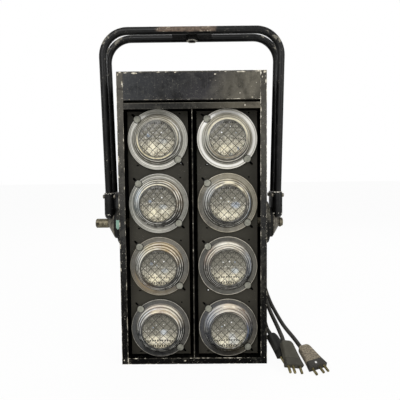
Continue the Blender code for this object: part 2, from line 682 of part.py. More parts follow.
def build_clamps():
    """Pivot bolts through the box sides: a barrel knob on the left one, a bolt head on the right one."""
    inside = inner_half - GAP
    knob_end = clamp_base + KNOB_LENGTH
    stud_end = knob_end - 2 * KNOB_PIN_INSET - KNOB_PIN_RADIUS
    stud = rod("pivot_bolt_left", PIVOT_RADIUS, "X", -stud_end, -inside + NUT_THICKNESS / 2, SMALL_STEPS,
               bare_steel("pivot bolt left"))
    join(stud, prism("head", circle(NUT_RADIUS, 6), "X", -inside, -inside + NUT_THICKNESS))
    place(smooth(stud), None, (0.0, 0.0, PIVOT_HEIGHT))

    knob_profile = ((0.0, -knob_end), (KNOB_RADIUS - KNOB_CHAMFER, -knob_end),
                    (KNOB_RADIUS, -knob_end + KNOB_CHAMFER), (KNOB_RADIUS, -clamp_base - KNOB_CHAMFER / 2),
                    (KNOB_RADIUS - KNOB_CHAMFER / 2, -clamp_base), (0.0, -clamp_base))
    knob = turned("barrel_knob", knob_profile, "X", PIVOT_STEPS, bare_steel("barrel knob steel"))
    bore = rod("bore", bore_radius, "X", -stud_end - GAP, -clamp_base + KNOB_CHAMFER, SMALL_STEPS)
    cut(knob, bore)
    pin_reach = KNOB_RADIUS + KNOB_PIN_RADIUS / 2
    pin_outline = circle(KNOB_PIN_RADIUS, 8, (-knob_end + KNOB_PIN_INSET, 0.0))
    pin = prism("pin", pin_outline, "Y", -pin_reach, pin_reach)
    join(knob, pin)
    place(smooth(knob), None, (0.0, 0.0, PIVOT_HEIGHT))

    head_start = clamp_base + BOLT_WASHER_THICKNESS
    bolt = rod("pivot_bolt_right", PIVOT_RADIUS, "X", inside - NUT_THICKNESS - PIVOT_RADIUS / 2,
               head_start + BOLT_HEAD_THICKNESS / 2, SMALL_STEPS, bare_steel("pivot bolt right"))
    head_end = head_start + BOLT_HEAD_THICKNESS
    head = turned("head", ((0.0, head_start - GAP), (BOLT_HEAD_RADIUS, head_start - GAP),
                           (BOLT_HEAD_RADIUS, head_end - KNOB_CHAMFER),
                           (BOLT_HEAD_RADIUS - KNOB_CHAMFER, head_end), (0.0, head_end)), "X", PIVOT_STEPS)
    join(bolt, prism("nut", circle(NUT_RADIUS, 6), "X", inside - NUT_THICKNESS, inside),
         rod("bolt washer", BOLT_WASHER_RADIUS, "X", clamp_base, head_start, PIVOT_STEPS), head)
    place(smooth(bolt), None, (0.0, 0.0, PIVOT_HEIGHT))


def rounded_path(corners, radius, steps):
    """Points of a bent tube: straight runs, with an arc of the bend radius at each inner corner."""
    points = [Vector(corners[0])]
    for before, corner, after in zip(corners, corners[1:], corners[2:]):
        corner = Vector(corner)
        to_before = (Vector(before) - corner).normalized()
        to_after = (Vector(after) - corner).normalized()
        half_angle = to_before.angle(to_after) / 2
        centre = corner + (to_before + to_after).normalized() * radius / math.sin(half_angle)
        start = corner + to_before * radius / math.tan(half_angle) - centre
        end = corner + to_after * radius / math.tan(half_angle) - centre
        sweep = start.angle(end)
        for i in range(steps + 1):
            share = i / steps
            arm = (start * math.sin((1 - share) * sweep) + end * math.sin(share * sweep)) / math.sin(sweep)
            points.append(centre + arm)
    points.append(Vector(corners[-1]))
    return points


def tube_corners(row):
    """Corners of the front (-1) or rear (1) yoke tube, in the frame of the pivot."""
    y = row * TUBE_SPACING / 2
    top_x = sleeve_x + YOKE_SPLAY
    foot_x = sleeve_x + YOKE_SPLAY * (TUBE_FOOT - SLEEVE_TOP) / (YOKE_RISE - SLEEVE_TOP)
    return ((-foot_x, y, TUBE_FOOT), (-top_x, y, YOKE_RISE), (top_x, y, YOKE_RISE), (foot_x, y, TUBE_FOOT))


def swept(name, points, radius, sides, material=None):
    """Round solid along a run of points, each ring square to the path."""
    sections = []
    across = None
    for i, point in enumerate(points):
        before = points[max(i - 1, 0)]
        after = points[min(i + 1, len(points) - 1)]
        heading = (after - before).normalized()
        if across is None:
            across = heading.orthogonal().normalized()
        across = (across - heading * across.dot(heading)).normalized()
        other = heading.cross(across)
        sections.append([point + across * a + other * b for a, b in circle(radius, sides)])
    return loft(name, sections, material)


def build_yoke(frame):
    """Two bent tubes side by side, the hanging plate between them, sleeves and hubs at their ends."""
    for name, row in (("yoke_tube_front", -1), ("yoke_tube_rear", 1)):
        points = rounded_path(tube_corners(row), YOKE_BEND, 6)
        tube = swept(name, points, TUBE_RADIUS, SMALL_STEPS, yoke_paint(name.replace("_", " ")))
        place(smooth(tube, 40), frame)

    reach_y = TUBE_SPACING / 2 - TUBE_RADIUS - GAP
    under = YOKE_RISE - PLATE_THICKNESS / 2
    plate = box("yoke_plate", (-PLATE_LENGTH / 2, -reach_y, under),
                (PLATE_LENGTH / 2, reach_y, under + PLATE_THICKNESS), yoke_paint("yoke plate"))
    cut(plate, rod("hole", PLATE_HOLE_RADIUS, "Z", under - SHEET, under + PLATE_THICKNESS + SHEET, 16))
    place(plate, frame)

    nut_top = under - GAP
    nut_base = nut_top - PLATE_NUT_THICKNESS
    nut = prism("yoke_nut", circle(NUT_RADIUS, 6), "Z", nut_base, nut_top, bare_steel("yoke nut"))
    cut(nut, rod("bore", PLATE_HOLE_RADIUS, "Z", nut_base - SHEET, nut_top + SHEET, 16))
    place(nut, frame)

    for side_name in SIDES:
        build_sleeve(side_name, frame)
        build_hub(side_name, frame)


def build_sleeve(side_name, frame):
    """Flat oval socket for both tubes with a rounded foot, cut to seat on the hub, with its bolt heads."""
    side = SIDES[side_name]
    rings = []
    for step in range(SLEEVE_FOOT_STEPS + 1):
        angle = math.pi / 2 * step / SLEEVE_FOOT_STEPS
        length = SLEEVE_FOOT_LENGTH + (sleeve_length - SLEEVE_FOOT_LENGTH) * math.sin(angle)
        width = SLEEVE_FOOT_WIDTH + (SLEEVE_WIDTH - SLEEVE_FOOT_WIDTH) * math.sin(angle)
        rings.append((length, width, SLEEVE_SHOULDER - (SLEEVE_SHOULDER - SLEEVE_FOOT) * math.cos(angle)))
    rings.append((sleeve_length, SLEEVE_WIDTH, SLEEVE_TOP))
    sections = [[(b + side * sleeve_x, a, height) for a, b in stadium(length, width)]
                for length, width, height in rings]
    sleeve = loft("sleeve_" + side_name, sections, yoke_paint("sleeve " + side_name))
    cutters = []
    for row in (-1, 1):
        corners = tube_corners(row)
        foot_end, above = (corners[0], corners[1]) if side < 0 else (corners[3], corners[2])
        foot_end, above = Vector(foot_end), Vector(above)
        heading = (above - foot_end).normalized()
        reach = (SLEEVE_TOP - TUBE_FOOT) / heading.z + 2 * SHEET
        cutters.append(swept("bore", [foot_end - heading * GAP, foot_end + heading * reach],
                             TUBE_RADIUS + GAP, SMALL_STEPS))
    hub_cut = [(0.0, hub_base - GAP)] + hub_profile(GAP) + [(0.0, hub_tip + GAP)]
    cutters.append(turned("hub seat", [(r, side * t) for r, t in hub_cut], "X", PIVOT_STEPS))
    cut(sleeve, *cutters)
    face = SLEEVE_WIDTH / 2
    bolt_height = SLEEVE_TOP - CROSS_BOLT_DROP
    heads = []
    for row in (-1, 1):
        for way in (-1, 1):
            sunk = side * sleeve_x + way * (face - CROSS_BOLT_SEAT)
            proud = side * sleeve_x + way * (face + CROSS_BOLT_HEAD)
            heads.append(rod("bolt head", CROSS_BOLT_RADIUS, "X", sunk, proud, 8, None,
                             (row * TUBE_SPACING / 2, bolt_height)))
    join(sleeve, *heads)
    return place(smooth(sleeve), frame)


def plug_frame(tag):
    """Matrix of a plug: X to its right, -Y out of its pins, Z off its upper face."""
    centre, heading, nose_down, roll = PLUG_PLACES[tag][:4]
    turn = Matrix.Rotation(math.radians(heading), 4, "Z")
    turn = turn @ Matrix.Rotation(math.radians(nose_down), 4, "X")
    turn = turn @ Matrix.Rotation(math.radians(roll), 4, "Y")
    return Matrix.Translation(centre) @ turn


def plug_section(width, thickness, y):
    """Rectangle with cut corners across the plug."""
    corner = min(PLUG_CORNER, thickness / 3, width / 3)
    half_w, half_t = width / 2, thickness / 2
    points = [(half_w - corner, -half_t), (half_w, -half_t + corner), (half_w, half_t - corner),
              (half_w - corner, half_t), (-half_w + corner, half_t), (-half_w, half_t - corner),
              (-half_w, -half_t + corner), (-half_w + corner, -half_t)]
    return [(a, y, b) for a, b in points]


def build_plug(tag):
    """Flat three pin plug: the flared contact block with its pins, and the shell with round rear corners."""
    frame = plug_frame(tag)
    facing = PLUG_PLACES[tag][4]
    ends = [plug_section(PLUG_WIDTH, PLUG_THICKNESS, 0.0),
            plug_section(PLUG_SEAM_WIDTH, PLUG_THICKNESS, PLUG_BLOCK)]
    block = loft(f"plug_{tag}_block", ends, plug_plastic(f"plug {tag} block"))
    pins = [rod("pin", PLUG_PIN_RADIUS, "Y", -PLUG_PIN_LENGTH, PLUG_BLOCK / 2, 8, None,
                (facing * across, 0.0)) for across in PLUG_PIN_PLACES]
    join(block, *pins)
    block.matrix_world = frame
    start = PLUG_BLOCK + GAP
    sections = [plug_section(PLUG_SEAM_WIDTH, PLUG_THICKNESS, start)]
    for step in range(PLUG_CORNER_STEPS + 1):
        angle = math.pi / 2 * step / PLUG_CORNER_STEPS
        share = 1 - math.cos(angle)
        width = PLUG_SHOULDER_WIDTH + (PLUG_TAIL_WIDTH - PLUG_SHOULDER_WIDTH) * share
        thickness = PLUG_THICKNESS + (PLUG_TAIL_THICKNESS - PLUG_THICKNESS) * share
        reach = PLUG_SHOULDER + (PLUG_SHELL - PLUG_SHOULDER) * math.sin(angle)
        sections.append(plug_section(width, thickness, start + reach))
    shell = loft(f"plug_{tag}_shell", sections, plug_plastic(f"plug {tag} shell"))
    smooth(shell, 30).matrix_world = frame


def smooth_route(points, count):
    """Even points on a smooth curve through the hand chosen ones."""
    points = [Vector(point) for point in points]
    ends = [points[0] * 2 - points[1]] + points + [points[-1] * 2 - points[-2]]
    fine = []
    per_leg = 24
    for a, b, c, d in zip(ends, ends[1:], ends[2:], ends[3:]):
        for i in range(per_leg):
            t = i / per_leg
            fine.append(0.5 * (2 * b + (c - a) * t + (2 * a - 5 * b + 4 * c - d) * t ** 2
                               + (3 * b - a - 3 * c + d) * t ** 3))
    fine.append(points[-1])
    run = [0.0]
    for a, b in zip(fine, fine[1:]):
        run.append(run[-1] + (b - a).length)
    even = []
    leg = 0
    for i in range(count):
        want = run[-1] * i / (count - 1)
        while leg < len(run) - 2 and run[leg + 1] < want:
            leg += 1
        share = (want - run[leg]) / (run[leg + 1] - run[leg])
        even.append(fine[leg].lerp(fine[leg + 1], share))
    return even


def build_cord(tag):
    """Rubber lead from the gland tip to the back of its plug."""
    frame = plug_frame(tag)
    across = PLUG_PLACES[tag][5]
    tail = PLUG_BLOCK + GAP + PLUG_SHELL + GAP
    gland_tip = back_y + GAP + GLAND_PLATE_THICKNESS + GLAND_LENGTH + GAP
    start = (gland_centres[tag], gland_tip, gland_height)
    straight = (gland_centres[tag], gland_tip + 3 * CORD_RADIUS, gland_height)
    end = frame @ Vector((across, tail, 0.0))
    route = [straight, *CORD_ROUTES[tag], frame @ Vector((across, tail + 3 * CORD_RADIUS, 0.0))]
    curve = bpy.data.curves.new("cord_" + tag, "CURVE")
    curve.dimensions = "3D"
    curve.bevel_depth = CORD_RADIUS
    curve.bevel_resolution = 2
    curve.use_fill_caps = True
    points = [Vector(start), *smooth_route(route, CORD_POINTS), end]
    line = curve.splines.new("POLY")
    line.points.add(len(points) - 1)
    for spot, point in zip(line.points, points):
        spot.co = (*point, 1.0)
    curve.materials.append(black_rubber("cord rubber " + tag))
    cord = bpy.data.objects.new("cord_" + tag, curve)
    bpy.context.collection.objects.link(cord)


def build_gland_plate():
    """Rear plate with a tapered strain relief for each lead."""
    centres = gland_centres.values()
    low = (min(centres) - GLAND_PLATE_MARGIN, back_y + GAP, gland_height - GLAND_PLATE_MARGIN)
    high = (max(centres) + GLAND_PLATE_MARGIN, back_y + GAP + GLAND_PLATE_THICKNESS,
            gland_height + GLAND_PLATE_MARGIN)
    plate = box("gland_plate", low, high, black_rubber("gland plate"))
    reliefs = []
    for centre in centres:
        root = high[1]
        sunk = root - GLAND_PLATE_THICKNESS / 2
        profile = ((0.0, sunk), (GLAND_ROOT_RADIUS, sunk), (GLAND_ROOT_RADIUS, root + GLAND_LENGTH * 0.2),
                   (GLAND_TIP_RADIUS, root + GLAND_LENGTH), (0.0, root + GLAND_LENGTH))
        reliefs.append(turned("relief", profile, "Y", SMALL_STEPS, None, (centre, gland_height)))
    return smooth(join(plate, *reliefs))


def build():
    clear_scene()
    build_shell()
    build_shelf()
    build_divider()
    build_back_panel()
    build_cover()
    build_terminal_block()
    lamp_mesh = build_lamp_mesh()
    clip_mesh = build_clip_mesh()
    for side_name in SIDES:
        build_tray_pivot(side_name)
        build_bank(side_name, lamp_mesh, clip_mesh)
        build_pivot_side(side_name)
    build_clamps()
    build_yoke(empty("yoke_axis", (0.0, 0.0, PIVOT_HEIGHT)))
    build_gland_plate()
    for tag in PLUG_PLACES:
        build_plug(tag)
        build_cord(tag)


build()
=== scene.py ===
import math

import bmesh
import bpy
from mathutils import Matrix, Vector


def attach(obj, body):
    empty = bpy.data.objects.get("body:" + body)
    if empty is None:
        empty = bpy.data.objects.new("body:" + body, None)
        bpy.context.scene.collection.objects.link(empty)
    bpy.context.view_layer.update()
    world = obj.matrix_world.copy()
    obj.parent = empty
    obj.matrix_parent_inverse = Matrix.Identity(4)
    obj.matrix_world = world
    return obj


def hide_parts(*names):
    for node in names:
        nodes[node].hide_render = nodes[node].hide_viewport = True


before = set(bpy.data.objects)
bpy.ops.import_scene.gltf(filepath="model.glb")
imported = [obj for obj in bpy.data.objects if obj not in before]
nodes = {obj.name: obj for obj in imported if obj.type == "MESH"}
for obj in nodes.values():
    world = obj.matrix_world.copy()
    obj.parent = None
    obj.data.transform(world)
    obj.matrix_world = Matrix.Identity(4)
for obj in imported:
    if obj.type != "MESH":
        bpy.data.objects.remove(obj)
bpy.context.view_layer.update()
print("frame loaded")


def tone(text):
    # screen colour as hex text to the scene's linear colour
    parts = [int(text[i:i + 2], 16) / 255 for i in (0, 2, 4)]
    return tuple(p / 12.92 if p <= 0.04045 else ((p + 0.055) / 1.055) ** 2.4 for p in parts) + (1.0,)


# node maths

class Flow:
    # one socket of a node tree, with the sums that the materials and trees below use
    def __init__(self, tree, socket=None):
        self.tree = tree
        self.socket = socket

    def node(self, kind, settings=None, values=None, out=0):
        made = self.tree.nodes.new(kind)
        for key, value in (settings or {}).items():
            if key == "stops":
                fillRamp(made.color_ramp, value)
            else:
                setattr(made, key, value)
        for key, value in (values or {}).items():
            if isinstance(value, Flow):
                self.tree.links.new(value.socket, made.inputs[key])
            else:
                made.inputs[key].default_value = value
        return Flow(self.tree, made.outputs[out])

    def calc(self, operation, *others):
        return self.node("ShaderNodeMath", {"operation": operation}, dict(enumerate((self, *others))))

    def __add__(self, other):
        return self.calc("ADD", other)

    def __sub__(self, other):
        return self.calc("SUBTRACT", other)

    def __rsub__(self, other):
        return self.node("ShaderNodeMath", {"operation": "SUBTRACT"}, {0: other, 1: self})

    def __mul__(self, other):
        return self.calc("MULTIPLY", other)

    def __truediv__(self, other):
        return self.calc("DIVIDE", other)

    def __pow__(self, other):
        return self.calc("POWER", other)

    def __abs__(self):
        return self.calc("ABSOLUTE")

    __radd__ = __add__
    __rmul__ = __mul__

    def rise(self, low, high):
        # 0 below low, 1 above high, smooth between
        return self.node("ShaderNodeMapRange", {"interpolation_type": "SMOOTHSTEP"}, {0: self, 1: low, 2: high})

    def fall(self, low, high):
        return 1.0 - self.rise(low, high)

    def axes(self):
        split = self.node("ShaderNodeSeparateXYZ", None, {0: self})
        return [Flow(self.tree, split.socket.node.outputs[i]) for i in range(3)]

    def grain(self, scale, detail=3.0, rough=0.6, warp=0.0):
        return self.node("ShaderNodeTexNoise", None, {"Vector": self, "Scale": scale, "Detail": detail,
                                                      "Roughness": rough, "Distortion": warp})

    def stretched(self, scale):
        return self.node("ShaderNodeMapping", None, {"Vector": self, "Scale": scale})

    def ramp(self, *stops):
        return self.node("ShaderNodeValToRGB", {"stops": stops}, {0: self})

    def blend(self, low, high):
        # this factor between two colours, each a flow or hex text
        low, high = (tone(colour) if isinstance(colour, str) else colour for colour in (low, high))
        return self.node("ShaderNodeMix", {"data_type": "RGBA"}, {0: self, 6: low, 7: high}, 2)


def fillRamp(ramp, stops):
    while len(ramp.elements) > 1:
        ramp.elements.remove(ramp.elements[0])
    for i, (place, colour) in enumerate(stops):
        spot = ramp.elements[0] if i == 0 else ramp.elements.new(place)
        spot.position = place
        spot.color = tone(colour)


def newFinish(name, uv=False):
    # a material, its shader and where on the piece a point is
    material = bpy.data.materials.new(name)
    material.use_nodes = True
    shader = material.node_tree.nodes["Principled BSDF"]
    start = Flow(material.node_tree)
    place = start.node("ShaderNodeTexCoord", out=2 if uv else 3)
    return material, shader, place


shaderSockets = {"colour": "Base Color", "rough": "Roughness", "metal": "Metallic", "coat": "Coat Weight",
                 "coatRough": "Coat Roughness", "specular": "Specular IOR Level"}


def feed(shader, bump=None, bumpDepth=0.0002, bumpStrength=0.5, **values):
    tree = shader.id_data
    for key, value in values.items():
        socket = shader.inputs[shaderSockets[key]]
        if isinstance(value, Flow):
            tree.links.new(value.socket, socket)
        else:
            socket.default_value = value
    if bump is not None:
        lift = bump.node("ShaderNodeBump", None, {"Height": bump, "Distance": bumpDepth, "Strength": bumpStrength})
        tree.links.new(lift.socket, shader.inputs["Normal"])


# finishes

def layered(base, *layers):
    # each layer is a mask and the colour that it lays over what is below
    for mask, colour in layers:
        base = mask.blend(base, colour)
    return base


boxSizes = {"halfWide": 0.136, "halfDeep": 0.065, "high": 0.542, "flange": 0.0115, "coverHalf": 0.1242,
            "coverLow": 0.4910, "coverHigh": 0.5402, "barLow": 0.4747, "barHigh": 0.4856}


def away(*gaps):
    # distance from an edge, from the gaps to its two faces
    total = gaps[0] * gaps[0]
    for gap in gaps[1:]:
        total = total + gap * gap
    return total ** 0.5


def nearest(*distances):
    closest = distances[0]
    for distance in distances[1:]:
        closest = closest.calc("MINIMUM", distance)
    return closest


def shellEdges(place):
    # distance to the folded edges of the box
    x, y, z = place.axes()
    sizes = boxSizes
    flange = sizes["flange"]
    wide, front, back = abs(x), y + sizes["halfDeep"], sizes["halfDeep"] - y
    side, crown = sizes["halfWide"] - wide, sizes["high"] - z
    inner = sizes["halfWide"] - flange
    return nearest(away(side, front), away(wide - inner, front), away(z, front), away(crown, front),
                   away(z - flange, front) + wide.rise(inner - 0.002, inner) * 0.01, away(side, crown), away(side, z),
                   away(side, back) + 0.0006, away(crown, back) + 0.0006)


def coverEdges(place):
    x, y, z = place.axes()
    sizes = boxSizes
    front = y + sizes["halfDeep"]
    return nearest(away(z - sizes["coverLow"], front), away(sizes["coverHigh"] - z, front),
                   away(sizes["coverHalf"] - abs(x), front) + 0.0004)


def barEdges(place):
    _, y, z = place.axes()
    sizes = boxSizes
    front = y + sizes["halfDeep"]
    return nearest(away(z - sizes["barLow"], front) + 0.0005, away(sizes["barHigh"] - z, front) + 0.0008)


def paintedSteel(name, base, edges=None, level=0.50, streaks=0.3, grit=0.35, spots=()):
    # black enamel with dust and rubbed patches, chipped to the cream primer at its edges; base makes its colour,
    # spots are the larger chips (x, z, half width and half height in mm)
    material, shader, place = newFinish(name)
    x, y, z = place.axes()
    cloud = place.grain(11.0, 5.0, 0.65)
    smudge = place.grain(38.0, 4.0, 0.6, 0.4)
    fine = place.grain(260.0, 3.0, 0.7)
    speck = place.grain(430.0, 2.0, 0.5)
    brushed = place.stretched((650.0, 650.0, 26.0)).grain(1.0, 3.0, 0.6)
    colour = layered(base(place, cloud), (smudge.rise(0.52, 0.70) * 0.45, "0b0b0b"),
                     (smudge.fall(0.30, 0.45) * 0.10, "8c887c"), (fine.rise(0.50, 0.75) * (0.05 + z * 0.30), "77756e"),
                     (brushed.rise(0.58, 0.74) * streaks, "7d7a70"))
    face = y.fall(-0.0640, -0.0625)
    chips = speck.rise(0.660, 0.70) * place.grain(60.0, 3.0).rise(0.40, 0.58) * (face * 0.75 + 0.25) * grit
    if edges is not None:
        distance = edges(place)
        torn = place.grain(150.0, 4.0, 0.65) * 0.62 + place.grain(34.0, 2.0, 0.5) * 0.38
        chips = chips.calc("MAXIMUM", (torn - level - distance / 0.008).rise(0.0, 0.018))
        # lighter along the folded edges: rubbed paint and a painted edge highlight
        rubAndEdgeHighlight = distance.fall(0.0, 0.0024) * fine.rise(0.40, 0.65)
        colour = (rubAndEdgeHighlight * 0.30).blend(colour, "6a665c")
    torn = (place.grain(190.0, 4.0, 0.65) - 0.5) * 3.2
    for cx, cz, wide, high in spots:
        a, b = (x * 1000 - cx) / wide, (z * 1000 - cz) / high
        chips = chips.calc("MAXIMUM", (a * a + b * b + torn).fall(0.35, 0.6) * face)
    primer = place.grain(170.0, 3.0).rise(0.36, 0.62).blend("ece6d6", "a59d8b")
    feed(shader, colour=chips.blend(colour, primer), rough=0.5 + cloud.rise(0.3, 0.7) * 0.16 + fine * 0.1,
         specular=0.05, bump=fine * 0.5 + chips * -0.8, bumpDepth=0.00025, bumpStrength=0.35)
    return material


def evenCoat(low, high):
    return lambda place, cloud: cloud.rise(0.35, 0.70).blend(low, high)


def panelCoat(place, cloud):
    # painted shade: the inside of the back panel is near black
    _, y, _ = place.axes()
    return y.rise(0.0640, 0.0648).blend("060606", cloud.rise(0.35, 0.70).blend("1d1d1c", "2d2d2b"))


def shellCoat(place, cloud):
    # painted light from above: lighter towards the top, near black towards the bottom; painted shade keeps the inside
    # near black
    x, y, z = place.axes()
    # painted light from above: the ramp runs from near black at the bottom to grey at the top
    height = z / boxSizes["high"] + (cloud - 0.5) * 0.25
    colour = height.ramp((0.0, "040404"), (0.20, "0b0b0b"), (0.36, "20201f"), (0.52, "303030"), (0.72, "4c4a45"),
                         (0.92, "55524c"))
    colour = x.rise(0.10, 0.12).blend(colour, (cloud.rise(0.3, 0.7) * 0.4 + 0.05).blend(colour, "131313"))
    front = y.fall(-0.0630, -0.0615)
    colour = front.blend((0.55 * cloud).blend("121212", "2f2e2c"), colour)
    # painted shade: the inner faces of the box are near black
    skin = 0.0007
    inside = ((boxSizes["halfWide"] - skin - abs(x)).rise(0.0, 0.0004) * (boxSizes["high"] - skin - z).rise(0.0, 0.0004)
              * (y + 0.0635).rise(0.0, 0.0006))
    return (inside * z.rise(0.0004, 0.0008)).blend(colour, "050505")


def coverCoat(place, cloud):
    # lighter grey on the left, darker in the middle, lighter and browner towards the lower right, with wiped smears
    x, _, z = place.axes()
    share = x * 3.4 + (0.516 - z) * 2.2 + 0.5 + (cloud - 0.5) * 0.45
    colour = share.ramp((0.0, "434445"), (0.22, "353638"), (0.45, "2f2f30"), (0.62, "373638"), (0.78, "524f48"),
                        (0.90, "666258"), (1.0, "4b4841"))
    smear = place.stretched((26.0, 20.0, 34.0)).grain(1.0, 4.0, 0.6, 0.5)
    return layered(colour, (smear.rise(0.55, 0.72) * 0.12, "83807a"), (smear.fall(0.28, 0.42) * 0.45, "131314"))


def barCoat(place, cloud):
    x, _, z = place.axes()
    share = x * 3.9 + 0.5 + (cloud - 0.5) * 0.25
    colour = share.ramp((0.0, "343331"), (0.3, "222221"), (0.55, "2b2a27"), (0.80, "545046"), (1.0, "625d52"))
    # painted highlight along the upper edge of the bar
    return (z.rise(0.4843, 0.4852) * 0.45).blend(colour, "7d7a70")


traySizes = {"column": 0.0653, "halfWide": 0.0650, "corner": 0.0110, "back": 0.0397}


def mattBlack(name):
    # heat resistant paint of the trays, with dust in the lower corners; painted shade keeps their back and the walls of
    # their holes black
    material, shader, place = newFinish(name)
    x, y, z = place.axes()
    cloud = place.grain(14.0, 4.0, 0.6)
    fine = place.grain(420.0, 3.0, 0.7)
    speck = place.grain(640.0, 1.0, 0.4).rise(0.74, 0.77) * cloud.rise(0.5, 0.6)
    corner = abs(abs(x - traySizes["column"]) - traySizes["halfWide"]) + z - traySizes["corner"]
    corner = corner.fall(0.004, 0.010) * place.grain(130.0, 3.0).rise(0.4, 0.6)
    # the last layer is painted shade: the back of the tray and the walls of its holes are black
    base = layered("2f2e29", (cloud.rise(0.3, 0.7) * 0.7 + fine * 0.3, "413f39"), (z.fall(0.10, 0.40) * 0.5, "45423a"),
                   (corner, "6d674c"), (speck * 0.5, "9a958a"),
                   ((y + traySizes["back"]).rise(0.0001, 0.0005), "060606"))
    feed(shader, colour=base, rough=0.62 + fine * 0.12, specular=0.1, bump=fine, bumpDepth=0.00012, bumpStrength=0.4)
    return material


def edgedBlack(name):
    # the divider: matt, with a rubbed front edge
    material, shader, place = newFinish(name)
    _, y, _ = place.axes()
    fine = place.grain(420.0, 3.0, 0.7)
    torn = place.grain(150.0, 4.0, 0.65)
    edge = y.fall(-0.0634, -0.0624)
    base = layered("141413", (fine, "232321"), (edge * torn.rise(0.38, 0.60) * 0.30, "8f897b"),
                   (edge * torn.rise(0.63, 0.66) * 0.8, "cfc9ba"))
    feed(shader, colour=base, rough=0.6 + fine * 0.1, specular=0.1, bump=fine, bumpDepth=0.00012, bumpStrength=0.4)
    return material


wearSizes = {"middle": -0.009, "low": 0.6248, "high": 0.6262, "bend": 0.5405}
# height of a chipped rim and how little of it is chipped
sleeveRims = ((0.3212, 0.42), (0.2795, 0.49))


def yokeEnamel(name, worn=True, rims=()):
    # satin black, rubbed through to brown steel on top of the bar and on the outer bends
    material, shader, place = newFinish(name)
    x, y, z = place.axes()
    cloud = place.grain(30.0, 5.0, 0.65)
    fine = place.grain(300.0, 3.0, 0.7)
    drag = place.stretched((60.0, 500.0, 500.0)).grain(1.0, 3.0, 0.6)
    base = layered("070707", (cloud.rise(0.35, 0.75) * 0.7 + fine * 0.25, "151515"),
                   (fine.rise(0.58, 0.72) * cloud.rise(0.45, 0.62) * 0.5, "6a675f"))
    if worn:
        ragged = (cloud - 0.5) * 0.03
        along = abs(x - wearSizes["middle"])
        zone = (z + ragged * 0.16).rise(wearSizes["low"], wearSizes["high"]) * y.fall(0.0, 0.004)
        zone = zone * (along + ragged).fall(0.048, 0.060)
        bare = zone * (cloud * 0.4 + drag * 0.6).rise(0.30, 0.42)
        flecks = zone * place.grain(210.0, 3.0, 0.6).rise(0.59, 0.64) * along.rise(0.018, 0.034)
        bend = ((abs(x) + z) * math.sqrt(0.5)).rise(wearSizes["bend"], wearSizes["bend"] + 0.0045)
        bend = bend * place.grain(95.0, 4.0, 0.6).rise(0.50, 0.58)
        nicks = place.grain(330.0, 3.0, 0.65).rise(0.66, 0.70) * cloud.rise(0.48, 0.6)
        base = layered(base, (bare * 0.95, fine.rise(0.35, 0.7).blend("4b3f36", "7d6b5b")), (flecks, "cfc4ae"),
                       (bend * 0.7, "8f8a7d"), (nicks * 0.8, "b5ae9e"))
    for height, level in rims:
        torn = place.grain(260.0, 4.0, 0.65)
        rim = (torn - level - abs(z - height) / 0.012).rise(0.0, 0.03)
        base = rim.blend(base, torn.rise(0.45, 0.6).blend("8a8478", "ece7da"))
    feed(shader, colour=base, rough=0.30 + cloud.rise(0.3, 0.7) * 0.2, specular=0.25, bump=fine + drag * 0.5,
         bumpDepth=0.0002, bumpStrength=0.3)
    return material


def agedSteel(name, dark="3b362c", light="8d8572", metal=0.75, rough=0.42, scratch=0.5):
    # plated steel gone brown, with bright rub marks
    material, shader, place = newFinish(name)
    cloud = place.grain(85.0, 5.0, 0.65, 0.4)
    fine = place.grain(520.0, 3.0, 0.7)
    line = place.stretched((700.0, 120.0, 160.0)).grain(1.0, 4.0, 0.65, 0.6)
    base = layered(dark, (cloud.rise(0.32, 0.68), light), (line.rise(0.60, 0.70) * scratch, "d6cfbb"),
                   (fine.rise(0.6, 0.75) * 0.5, "2a261f"))
    feed(shader, colour=base, metal=metal, rough=rough + cloud * 0.2, bump=fine + line * 0.6, bumpDepth=0.0002,
         bumpStrength=0.4)
    return material


def zincPad(name):
    # dull plate of the lamp clips
    material, shader, place = newFinish(name)
    cloud = place.grain(150.0, 4.0, 0.6)
    fine = place.grain(900.0, 2.0, 0.6)
    base = layered("7d7d73", (cloud.rise(0.3, 0.7), "a09f93"), (fine.rise(0.60, 0.74) * 0.4, "5a5c53"))
    feed(shader, colour=base, rough=0.5 + fine * 0.15, specular=0.2, bump=fine, bumpDepth=0.00012, bumpStrength=0.35)
    return material


nutSizes = {"low": 0.6162, "inner": 0.0062}


def nutFinish(name):
    # black nut, pale round its underside
    material, shader, place = newFinish(name)
    x, y, z = place.axes()
    fine = place.grain(420.0, 3.0, 0.7)
    radius = (x * x + y * y) ** 0.5
    inner, low = nutSizes["inner"], nutSizes["low"]
    ring = radius.rise(inner, inner + 0.0006) * z.fall(low + 0.0003, low + 0.0008)
    base = layered("101010", (fine, "1f1e1c"), (ring * (0.55 + fine.rise(0.3, 0.6) * 0.4), "c9c5b8"))
    feed(shader, colour=base, rough=0.4 + fine * 0.2, specular=0.25, bump=fine, bumpDepth=0.0002, bumpStrength=0.3)
    return material


tapeSizes = {"outer": 0.1476, "inner": 0.1405, "high": 0.2700, "low": 0.2515, "fold": 0.1440, "front": -0.026}


